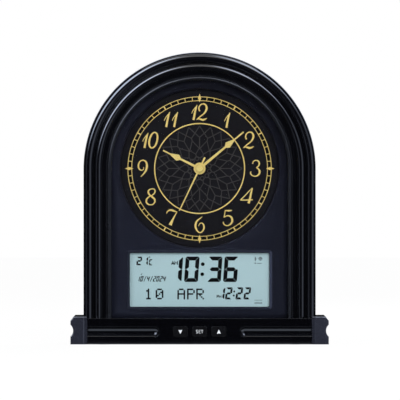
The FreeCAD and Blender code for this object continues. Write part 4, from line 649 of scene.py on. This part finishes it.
# Dial. A thin black-lacquered metal disc, foil-blocked in gold with a railway minute track, an inner
# ring and swash numerals, and overprinted in dark grey with a traditional twelve-fold rosette.
DIAL_FACE_Y = -3.35
TRACK_OUTER = 54.2
TRACK_INNER = 51.3
RING_RADIUS = 34.0
STAR_RADIUS = 53.3
STAR_REACH = 3.2
STAR_HALF_ANGLE = 1.3
STAR_HEIGHT = 0.14
FOIL_HEIGHT = 0.09
ROSETTE_PEN = 0.8
LEAF_TIP, LEAF_SIDE, LEAF_ROOT = 32.2, 26.9, 23.6
SPOKE_TIP, SPOKE_ROOT = 23.8, 15.0
KITE_TIP = 21.6
EYE_ORBIT, EYE_RADIUS = 7.8, 1.5
PETAL = ((0.0, 15.0), (1.7, 12.9), (2.8, 10.6), (2.1, 8.9), (0.0, 8.2), (-2.1, 8.9), (-2.8, 10.6),
         (-1.7, 12.9))
SWASH = {
    "0": [[(2.96 * math.cos(t * math.pi / 6) + 0.19 * 5.87 * math.sin(t * math.pi / 6),
            5.87 * math.sin(t * math.pi / 6), 1.1 + 0.6 * abs(math.cos(t * math.pi / 6)))
           for t in range(13)]],
    "1": [[(1.84, 5.59, .72), (.94, 2.88, 1.66), (.04, -1.08, 1.73), (-.86, -5.77, 1.87)],
          [(.94, 4.3, .6), (-.68, 2.16, .7), (-1.77, .36, .6), (-2.23, -.9, .5)]],
    "2": [[(-1.8, .65, 1.2), (-2.45, 2.7, 1.25), (-1.62, 5.05, 1.05), (.36, 6.2, 1.0), (2.34, 5.7, 1.4),
           (3.42, 3.6, 1.8), (2.7, .72, 1.6), (.9, -1.5, 1.15), (-1.44, -3.3, 1.0), (-3.42, -4.97, .8),
           (-4.15, -5.7, .5)],
          [(-4.15, -5.7, .4), (-2.5, -5.05, 1.0), (-.72, -5.5, 1.6), (.9, -5.8, 1.8), (2.34, -5.3, 1.3),
           (3.7, -4.5, .4)]],
    "3": [[(-1.96, 3.3, .9), (-1.36, 5.05, .9), (.6, 6.0, .9), (2.6, 5.1, 1.3), (3.1, 3.2, 1.5),
           (2.1, 1.3, 1.1), (.75, .45, .7)],
          [(.75, .45, .7), (2.56, -.7, 1.3), (3.4, -2.6, 1.8), (2.56, -4.8, 1.5), (.1, -6.0, .9),
           (-2.4, -5.3, .9), (-3.5, -3.4, 1.1), (-3.0, -2.4, .8)]],
    "4": [[(4.37, 5.5, .7), (3.47, 2.45, 1.5), (2.45, -2.45, 1.8), (1.39, -5.92, 2.1)],
          [(4.25, 5.7, .6), (1.63, 3.06, .8), (-1.63, -.4, .85), (-4.7, -3.35, .9)],
          [(-4.8, -3.47, .8), (0, -3.4, 1.0), (4.57, -3.2, 1.0)]],
    "5": [[(-2.25, 5.6, .8), (.25, 5.4, 1.5), (1.84, 5.5, 1.3), (3.1, 5.8, .5)],
          [(-2.04, 5.5, .8), (-2.5, 2.45, .8), (-2.95, .33, .8)],
          [(-2.95, .33, .6), (-1.4, 1.3, .9), (.6, 1.55, 1.2), (2.5, .5, 1.7), (3.27, -1.63, 1.9),
           (2.65, -3.9, 1.6), (.6, -5.6, 1.05), (-1.63, -5.7, .95), (-3.27, -4.3, 1.1),
           (-3.47, -2.94, .9)]],
    "6": [[(1.85, 6.0, .5), (.3, 4.8, .9), (-1.9, 3.0, 1.4), (-3.15, .1, 1.8), (-2.7, -3.1, 1.6),
           (-1.05, -5.4, 1.1), (.3, -6.0, 1.0), (2.3, -4.55, 1.3), (3.25, -1.55, 1.5), (2.35, .7, 1.1),
           (1.1, 1.3, .8), (-.3, .35, .6), (-.9, -1.1, .4)]],
    "7": [[(-4.0, 2.7, .6), (-2.98, 4.4, 1.0), (-1.14, 5.3, 1.55), (.9, 4.9, 1.7), (2.74, 4.16, 1.0),
           (4.16, 4.0, .4)],
          [(3.96, 3.8, .7), (1.84, .2, 1.2), (.2, -3.06, 1.9), (-1.2, -6.0, 3.1)]],
    "8": [[(1.1, 6.0, .8), (-1.0, 5.2, 1.1), (-1.76, 3.76, 1.4), (-1.0, 1.6, 1.4), (1.2, -.2, 1.7),
           (3.06, -2.25, 1.5), (2.45, -5.1, 1.1), (-.1, -6.1, .9), (-2.8, -4.9, 1.4), (-3.2, -2.45, 1.5),
           (-1.4, -.2, 1.0), (1.6, 1.4, .9), (3.27, 3.7, 1.2), (2.86, 5.5, .9), (1.1, 6.0, .8)]],
    "9": [[(.9, .9, .5), (.5, -.9, .7), (-.8, -1.5, .9), (-2.5, -.6, 1.2), (-3.2, 1.5, 1.5),
           (-2.6, 4.2, 1.2), (-1.0, 5.8, 1.0), (1.1, 5.9, 1.1), (2.8, 4.2, 1.6), (3.2, 1.5, 1.9),
           (2.4, -1.7, 1.7), (.75, -4.2, 1.2), (-.75, -5.8, .8), (-1.4, -6.4, .4)]]}
NUMERAL_PLACES = (
    ("1", -3.76, 42.4), ("2", 1.9, 42.6), ("1", 21.1, 36.6), ("2", 37.25, 21.3), ("3", 42.0, 0.2),
    ("4", 35.6, -20.4), ("5", 21.4, -37.3), ("6", 0.1, -42.5), ("7", -21.05, -36.7), ("8", -37.0, -21.3),
    ("9", -43.05, 0.2), ("1", -40.8, 21.3), ("0", -34.97, 21.4), ("1", -24.4, 37.1), ("1", -18.4, 37.1))


def around(radius, degrees):
    """A point of the dial, clockwise from twelve, in millimetres from its centre."""
    return radius * math.sin(math.radians(degrees)), radius * math.cos(math.radians(degrees))


def line_between(*ends, pen=ROSETTE_PEN):
    """A stroke between points of the dial, each given by its radius and its angle."""
    return [around(*end) + (pen,) for end in ends]


def raised_ring(mesh, radius, width, height):
    """A ring with a domed section, turned about the dial's centre."""
    y, shoulder = DIAL_FACE_Y, width * 0.3
    section = [(radius - width / 2, y, ARCH_Z), (radius - shoulder, y - height * 0.8, ARCH_Z),
               (radius, y - height, ARCH_Z), (radius + shoulder, y - height * 0.8, ARCH_Z),
               (radius + width / 2, y, ARCH_Z)]
    revolve(mesh, loop_of(mesh, section), (0, 0, ARCH_Z), (0, 1, 0), 2 * math.pi, 144)


def gilding(name, first, second, fine, cloudy, vary, least, metallic):
    """Gold foil or gilt brass: a fine grain over broad warm clouds."""
    finish = Finish(name, Metallic=metallic, Specular_IOR_Level=0.5)
    grain = finish.noise(fine, 3.0, 0.6)
    cloud = finish.noise(cloudy, 2.0)
    finish.paint(Base_Color=finish.blend(grain * 0.4 + cloud * 0.6, first, second),
                 Roughness=grain * vary + least)
    finish.relief(grain, 0.01, 0.4)
    return finish.material


dial_finish = Finish("dial_black", Specular_IOR_Level=0.08)
dial_x, dial_z = dial_finish.axis(0), dial_finish.axis(2) - ARCH_Z * MM
reach = (dial_x * dial_x + dial_z * dial_z).root()
in_track = reach.above(TRACK_INNER * MM) * (1.0 - reach.above(TRACK_OUTER * MM))
lacquer = dial_finish.noise(2200.0, 3.0, 0.6)
dial_cloud = dial_finish.noise(40.0, 2.0)
dial_face = dial_finish.blend(lacquer * 0.5 + dial_cloud * 0.5, shade(20, 19, 22), shade(29, 28, 32))
dial_finish.paint(Base_Color=dial_finish.blend(in_track, dial_face, shade(7, 7, 9)),
                  Roughness=lacquer * 0.16 + 0.5)
dial_finish.relief(lacquer, 0.01, 0.5)
dress(dial_finish.material, "dial_plate")
foil = gilding("dial_foil", shade(240, 198, 96), shade(255, 234, 148), 1600.0, 160.0, 0.2, 0.32, 0.2)
track = bmesh.new()
for radius, width in ((TRACK_OUTER, 0.52), (TRACK_INNER, 0.48), (RING_RADIUS, 0.85)):
    raised_ring(track, radius, width, FOIL_HEIGHT)
bars = [line_between((TRACK_INNER, minute * 6), (TRACK_OUTER, minute * 6),
                     pen=0.5 if minute % 5 else 0.95) for minute in range(60)]
stamp(track, brush(bars, 0.16, grain=1), (0, DIAL_FACE_Y, ARCH_Z))
for a in (0, 90, 180, 270):
    corners = [around(STAR_RADIUS - STAR_REACH, a), around(STAR_RADIUS, a + STAR_HALF_ANGLE),
               around(STAR_RADIUS + STAR_REACH, a), around(STAR_RADIUS, a - STAR_HALF_ANGLE)]
    flat_shape(track, corners, 0, ARCH_Z, thickness=STAR_HEIGHT, y=DIAL_FACE_Y)
build_piece("minute_track", track, "clock_case", "hand_gold", foil)
rosette = []
for a in range(0, 360, 15):
    rosette += [line_between((radius, a + turn), (LEAF_SIDE, a + 7.5))
                for radius in (LEAF_TIP, LEAF_ROOT) for turn in (0, 15)]
for a in range(0, 360, 30):
    rosette += [line_between((SPOKE_TIP, a), (SPOKE_ROOT, a)),
                line_between((LEAF_ROOT, a + 15), (KITE_TIP, a + 15)),
                line_between((SPOKE_ROOT, a), (KITE_TIP, a + 15)),
                line_between((SPOKE_ROOT, a + 30), (KITE_TIP, a + 15))]
pattern = brush(rosette, 0.06, sides=1, grain=1)
for a in range(0, 360, 30):
    cosine, sine = math.cos(math.radians(a)), math.sin(math.radians(a))
    petal = [(px * cosine + pz * sine, pz * cosine - px * sine, 0.75) for px, pz in PETAL]
    eye = circle(*around(EYE_ORBIT, a + 15), EYE_RADIUS, 8, 0.7)
    for shape, grain in ((petal, 3), (eye, 2)):
        stamp(pattern, brush([shape], 0.06, sides=1, grain=grain, closed=True), (0, 0, 0))
bmesh.ops.translate(pattern, verts=pattern.verts, vec=(0, DIAL_FACE_Y * MM, ARCH_Z * MM))
rosette_grey = flecked("rosette_grey", shade(52, 50, 50), shade(70, 68, 67), 1500.0, 3.0, least=0.45,
                       Specular_IOR_Level=0.1)
build_piece("dial_rosette", pattern, "clock_case", "dial_black", rosette_grey)
numerals = bmesh.new()
for sign, x, z in NUMERAL_PLACES:
    stamp(numerals, brush(SWASH[sign], 0.2, sides=3, grain=5, weight=0.88), (x, DIAL_FACE_Y, ARCH_Z + z))
build_piece("hour_numerals", numerals, "clock_case", "hand_gold", foil, sharp=60.0)

# Movement and hands. A black moulded quartz movement behind the dial; its wheels, coil and stator are
# fitted before the cover is screwed on. The hands are stamped, gilt and pressed on their tubes.
dress(grained_plastic("movement_plastic", shade(18, 18, 20), shade(32, 32, 35)), "movement_case",
      "movement_cover")
dress(grained_plastic("wheel_plastic", shade(204, 202, 192), shade(228, 226, 218), 0.4, 0.01, 2600.0),
      "second_wheel", "intermediate_wheel", "third_wheel", "centre_wheel", "minute_wheel", "hour_wheel",
      "setting_arbor")
dress(brushed_metal("magnet_grey", shade(58, 59, 62), shade(84, 85, 88), 0.5), "rotor", "speaker_magnet")
dress(brushed_metal("core_iron", shade(112, 114, 118), shade(158, 160, 164), 0.34, (12, 1, 1)),
      "coil_core", "stator")
dress(screw_steel, "quartz_crystal")
coil_finish = Finish("coil_copper", Metallic=0.85)
winding = coil_finish.node("ShaderNodeTexWave", {"bands_direction": "X"}, {
    "Vector": coil_finish.place(), "Scale": 1400.0, "Distortion": 0.4})
coil_finish.paint(Base_Color=coil_finish.blend(winding, shade(120, 54, 26), shade(196, 112, 64)),
                  Roughness=winding * 0.15 + 0.3)
coil_finish.relief(winding, 0.05, 0.8)
dress(coil_finish.material, "drive_coil")
gilt = gilding("hand_gold", shade(246, 206, 104), shade(255, 240, 160), 1500.0, 140.0, 0.16, 0.28, 0.25)
for node in ("hour_hand", "minute_hand", "second_hand"):
    remake("gilt_" + node, node, node + "_set", "hand_gold", gilt, sharp=26.0, bevel=0.1)

# Front panel. One satin navy-black moulding behind the glass: a round well for the dial with a softened
# lip, and below it a raised frame with rounded corners around the display's window.
PANEL_Y = -8.15
PANEL_HALF = 78.7
PANEL_WALL = 1.9
WINDOW_Z = 48.4
FRAME_FRONT_Y = -8.24
FRAME_SIDE_X = 52.9
FRAME_FOOT_Z = 26.2
WELL = ((61.2, -8.15), (60.75, -8.1), (60.35, -7.9), (60.1, -7.55), (60.0, -7.1), (60.0, -2.85),
        (9.0, -2.85))
BEZEL = ((110.0, 45.3, 3.3, -8.15), (109.8, 45.1, 3.2, -8.35), (109.7, 45.0, 3.15, -8.8),
         (109.5, 44.8, 3.1, -9.07), (109.1, 44.4, 2.9, -9.15), (106.5, 41.8, 1.8, -9.15),
         (106.0, 41.3, 1.5, -9.05), (105.5, 40.8, 1.2, -8.7), (105.2, 40.5, 1.0, -8.2),
         (105.2, 40.5, 1.0, -6.3))


def ladder(mesh, rings):
    """Lofts closed rings of equal length into one wall."""
    loops = [loop_of(mesh, ring) for ring in rings]
    for first, second in zip(loops, loops[1:]):
        bmesh.ops.bridge_loops(mesh, edges=first + second)


panel_mesh = bmesh.new()
arch = circle(0, ARCH_Z, PANEL_HALF, 180)[:91]
loop_of(panel_mesh, [(x, PANEL_Y, z) for x, z in arch + [(-PANEL_HALF, DECK_Z), (PANEL_HALF, DECK_Z)]])
ladder(panel_mesh, [[(x, y, z) for x, z in circle(0, ARCH_Z, radius, 144)] for radius, y in WELL])
ladder(panel_mesh, [rounded_outline(0, WINDOW_Z, *form) for form in BEZEL])
flat_sheet(panel_mesh, PANEL_Y)
satin = Finish("satin_navy", Specular_IOR_Level=0.22)
satin_grain = satin.noise(1300.0, 4.0, 0.65)
satin_cloud = satin.noise(22.0, 2.0)
# Over its grain and clouds the panel is painted lighter toward the bottom and the left, a painted sheen
# and shade.
grain_and_painted_gradient = satin_grain * 0.3 + satin_cloud * 0.3 + (150 * MM - satin.axis(2)) * 4.4 - satin.axis(0) * 2.4
# The raised frame is painted lighter than the panel as a painted highlight, lighter again along its foot
# and most along its right side.
on_frame = (FRAME_FRONT_Y * MM - satin.axis(1)).above(0.0)
on_side = satin.axis(0).above(FRAME_SIDE_X * MM)
on_foot = (FRAME_FOOT_Z * MM - satin.axis(2)).above(0.0)
painted_frame_highlight = satin.blend(on_side, satin.blend(on_foot, shade(38, 41, 53), shade(47, 50, 63)),
                         shade(60, 64, 82))
satin.paint(Base_Color=satin.blend(on_frame, satin.blend(grain_and_painted_gradient, shade(14, 14, 21), shade(31, 33, 46)),
                                   painted_frame_highlight),
            Roughness=satin_grain * 0.12 + 0.3 - on_frame * 0.1)
satin.relief(satin_grain, 0.012, 0.6)
build_piece("satin_panel", panel_mesh, "clock_case", "satin_navy", satin.material, ["front_panel"],
            sharp=40.0, wall=PANEL_WALL)

# Front glass. A flat pane of clear acrylic, cut to the opening of the case and held against its lip by
# the panel's rim. Light passes through it to the dial.
acrylic = Finish("clear_acrylic", Transmission_Weight=1.0, IOR=1.49)
smear = acrylic.noise(55.0, 3.0)
acrylic.paint(Base_Color=acrylic.blend(smear, shade(250, 252, 253), shade(254, 255, 255)),
              Roughness=smear * 0.02)
acrylic.swap(acrylic.ray("Is Shadow Ray"), acrylic.node("ShaderNodeBsdfTransparent"))
dress(acrylic.material, "front_glass")

# Arched case. The front moulding in polished black: turned around the arch and drawn straight down the
# legs, with a fat outer roll, a round ridge inside it, a small cove and the lip that frames the glass.
SOFT_RADIUS = 70.4


def arc_through(first, middle, last, steps):
    """Points on the circle through three points of a section, without the first."""
    (ax, ay), (bx, by), (cx, cy) = first, middle, last
    a2, b2, c2 = ax ** 2 + ay ** 2, bx ** 2 + by ** 2, cx ** 2 + cy ** 2
    d = 2 * (ax * (by - cy) + bx * (cy - ay) + cx * (ay - by))
    ux = (a2 * (by - cy) + b2 * (cy - ay) + c2 * (ay - by)) / d
    uy = (a2 * (cx - bx) + b2 * (ax - cx) + c2 * (bx - ax)) / d
    radius = math.hypot(ax - ux, ay - uy)
    start, halfway, end = [math.atan2(y - uy, x - ux) for x, y in (first, middle, last)]
    sweep = (end - start) % (2 * math.pi)
    if (halfway - start) % (2 * math.pi) > sweep:
        sweep -= 2 * math.pi
    angles = [start + sweep * step / steps for step in range(1, steps + 1)]
    return [(ux + radius * math.cos(angle), uy + radius * math.sin(angle)) for angle in angles]


outline = [(87.5, 24.8), (87.5, 6.0), (87.5, -13.35)]
outline += arc_through((87.5, -13.35), (83.85, -17.0), (80.2, -13.35), 18)
outline += [(79.5, -13.35)] + arc_through((79.5, -13.35), (76.55, -16.3), (73.6, -13.35), 16)
outline += [(73.6, -12.2), (69.7, -12.2)]
outline += arc_through((69.7, -12.2), (68.0, -13.95), (66.3, -12.25), 12)
outline += [(66.3, -11.15), (70.8, -11.15), (70.8, -8.15), (73.0, -8.15), (73.0, -11.4), (85.1, -11.4),
            (85.1, 24.8)]
case_mesh = bmesh.new()
section = loop_of(case_mesh, [(radius, y, ARCH_Z) for radius, y in outline])
for leg in (section, revolve(case_mesh, section, (0, 0, ARCH_Z), (0, -1, 0), math.pi, 120)):
    bmesh.ops.contextual_create(case_mesh, geom=push(case_mesh, leg, (0, 0, DECK_Z - ARCH_Z)))
# Within SOFT_RADIUS the lip is dull and painted lighter as a painted sheen.
case_piece = build_piece("arched_case", case_mesh, "clock_case", "gloss_black",
                         polished_black("gloss_black_case", shade(2, 2, 4), dull_with_painted_sheen_within=SOFT_RADIUS),
                         ["front_housing"], sharp=30.0)

# Back of the clock. A grained black cover with speaker slots and a bay for two cells, its sliding door,
# the fluted setting knob and the volume slider, all fitted and screwed on last.
CELL_END_X = 22.5
knob_black = grained_plastic("knob_black", shade(14, 14, 16), shade(27, 27, 30), 0.36, 0.015, 2200.0)
remake("grained_cover", "rear_cover", "clock_case", "case_black", case_black, bevel=0.3)
remake("sliding_door", "battery_door", "battery_door_set", "case_black", case_black, bevel=0.3)
remake("fluted_knob", "setting_knob", "setting_knob_set", "knob_black", knob_black, sharp=35.0,
       bevel=0.2)
remake("ridged_slider", "volume_slider", "volume_slider_set", "knob_black", knob_black, bevel=0.25,
       segments=3)
dress(brushed_metal("contact_nickel", shade(168, 166, 158), shade(206, 203, 194), 0.25, (1, 1, 9)),
      "battery_contacts")
cell_finish = Finish("cell_wrap", Specular_IOR_Level=0.5, Coat_Weight=0.4)
cell_end = cell_finish.axis(0).size().above(CELL_END_X * MM)
film = cell_finish.noise(900.0, 3.0)
wrap = cell_finish.blend(film, shade(30, 60, 96), shade(38, 72, 112))
cell_finish.paint(Base_Color=cell_finish.blend(cell_end, wrap, shade(176, 177, 180)),
                  Metallic=cell_end * 0.9, Roughness=film * 0.15 + 0.28)
cell_finish.relief(film, 0.01, 0.4)
dress(cell_finish.material, "dry_cells")
dress(brushed_metal("speaker_steel", shade(120, 122, 124), shade(164, 166, 168), 0.4), "speaker_frame")
dress(grained_plastic("cone_paper", shade(28, 27, 26), shade(48, 46, 44), 0.85, 0.06, 1200.0,
                      Specular_IOR_Level=0.2), "speaker_cone")

# Studio. A white sweep, lit broadly from the front, from high at the left and from behind, with a strip
# overhead and a card each for the case and the base alone. Polish and glass see a dim room with soft
# walls and windows instead, so that the black mouldings read black.
ROOM_TINT = (0.74, 0.83, 1.05, 1)
SKY_TINT = (0.93, 0.96, 1.0, 1)
WHITE = (1, 1, 1, 1)
floor_mesh = bmesh.new()
bmesh.ops.create_grid(floor_mesh, x_segments=1, y_segments=1, size=6.0)
floor_data = bpy.data.meshes.new("studio_floor")
floor_mesh.to_mesh(floor_data)
floor_mesh.free()
floor = put("studio_floor", floor_data)
sweep = Finish("studio_white", Roughness=0.9, Specular_IOR_Level=0.0)
sweep.paint(Base_Color=sweep.blend(sweep.noise(3.0, 1.0), shade(246, 247, 249), shade(250, 251, 252)))
sweep.swap(sweep.ray("Is Camera Ray") * 0.97, sweep.node("ShaderNodeEmission", {}, {"Color": WHITE}))
floor_data.materials.append(sweep.material)
floor.visible_glossy = floor.visible_transmission = False


class Room(Finish):
    """The studio around the clock, mixed as a finish is but from the direction of a ray."""

    def __init__(self, name):
        self.world = bpy.data.worlds.new(name)
        self.world.use_nodes = True
        self.tree = self.world.node_tree
        self.tree.nodes.clear()

    def fade(self, value, first, last):
        """Rises smoothly from 0 to 1 as a value goes from first to last."""
        return self.node("ShaderNodeMapRange", {"interpolation_type": "SMOOTHSTEP"}, {
            "Value": value, "From Min": first, "From Max": last})

    def light(self, colour, strength=1.0):
        return self.node("ShaderNodeBackground", {}, {"Color": colour, "Strength": strength})


room = Room("studio_room")
bpy.context.scene.world = room.world
ray_x, ray_y, ray_z = [room.node("ShaderNodeSeparateXYZ", {}, {
    "Vector": room.node("ShaderNodeTexCoord")}, axis) for axis in range(3)]
aside = ray_x / (0.001 - ray_y)
aloft = ray_z / (0.001 - ray_y)
in_front = room.fade(ray_y, -0.1, -0.35)


def pane(left, right, low, high):
    """A soft-edged bright field in front of the clock, from where each edge starts to where it ends."""
    return (room.fade(aside, *left) * room.fade(aside, *right) * room.fade(aloft, *low)
            * room.fade(aloft, *high) * in_front)


right_wall = pane((0.22, 0.7), (3.4, 1.1), (-1.1, -0.5), (1.3, 0.6))
left_wall = pane((-2.6, -1.5), (-0.6, -1.1), (-0.8, -0.3), (1.5, 0.7))
left_window = pane((-1.3, -0.8), (-0.08, -0.3), (0.12, 0.32), (1.4, 0.9))
right_window = pane((0.1, 0.3), (1.1, 0.7), (0.45, 0.75), (2.2, 1.4))
ceiling = room.fade(ray_z, 0.6, 0.95) * room.fade(ray_y, 0.8, 0.2)
below_front = room.fade(ray_z, -0.02, -0.2) * room.fade(ray_z, -0.8, -0.3) * room.fade(ray_y, 0.0, -0.5)
under_glow = room.fade(ray_z, -0.9, -1.0)
behind = room.fade(ray_y, 0.35, 0.8) * room.fade(ray_z.size(), 0.04, 0.16)
glow = (right_wall * 0.62 + left_wall * 0.25 + left_window * 7.5 + right_window * 6.0 + ceiling * 0.12
        + below_front * 0.05 + under_glow * 0.05 + behind * 0.7 + 0.012)
in_polish = room.ray("Is Glossy Ray").at_least(room.ray("Is Transmission Ray"))
before_matt = 1.0 - room.ray("Diffuse Depth").above(0.5)
around_clock = room.choose(in_polish * before_matt, room.light(SKY_TINT, 0.5),
                           room.light(ROOM_TINT, glow))
seen = room.choose(room.ray("Is Camera Ray"), around_clock, room.light(WHITE))
room.feed(room.tree.nodes.new("ShaderNodeOutputWorld"), {"Surface": seen})


def lamp(name, place, target, width, height, radiance, tint=(1.0, 1.0, 1.0), glossy=True):
    """A soft rectangular lamp of the given radiance, aimed at a point, unseen by the camera itself."""
    data = bpy.data.lights.new(name, "AREA")
    data.shape, data.size, data.size_y = "RECTANGLE", width, height
    data.energy, data.color = radiance * math.pi * width * height, tint
    made = put(name, data)
    made.location = place
    made.rotation_euler = (Vector(target) - Vector(place)).to_track_quat("-Z", "Y").to_euler()
    made.visible_camera = made.visible_transmission = False
    made.visible_glossy = glossy
    return made


def lights_only(card, name, piece):
    """Keeps a card's gleam to the piece that it is set up for."""
    lit_pieces = bpy.data.collections.new(name)
    lit_pieces.objects.link(piece)
    card.light_linking.receiver_collection = lit_pieces
    card.visible_diffuse = False


lamp("high_left", (-0.75, -0.80, 0.62), (0, 0, 0.11), 0.34, 0.34, 9.0, glossy=False)
lamp("overhead", (0.0, -0.09, 0.50), (0, -0.09, 0.1), 0.42, 0.08, 1.6)
lights_only(lamp("high_front", (0.0, -1.2, 1.0), (0, 0, 0.2), 1.1, 0.9, 1.2), "crown_light", case_piece)
lamp("broad_front", (0.5, -1.6, 0.5), (0, 0, 0.11), 1.2, 1.2, 5.2, glossy=False)
lamp("high_behind", (0.85, 1.1, 0.85), (0, 0, 0.1), 0.6, 0.6, 14.0, glossy=False)
near_card = lamp("near_card", (0, -0.0455, 0.0001), (0, -0.0455, 1.0), 0.168, 0.021, 1.2,
                 (0.75, 0.84, 1.0))
lights_only(near_card, "flute_light", base_piece)

camera_data = bpy.data.cameras.new("camera")
camera_data.lens, camera_data.sensor_width = 475.8, 36.0
camera_data.clip_start, camera_data.clip_end = 0.1, 30.0
camera = put("camera", camera_data)
camera.location = (0.0003, -4.0, 0.1087)
camera.rotation_euler = (math.radians(90), 0, 0)
bpy.context.scene.camera = camera
bpy.context.scene.view_settings.view_transform = "Standard"
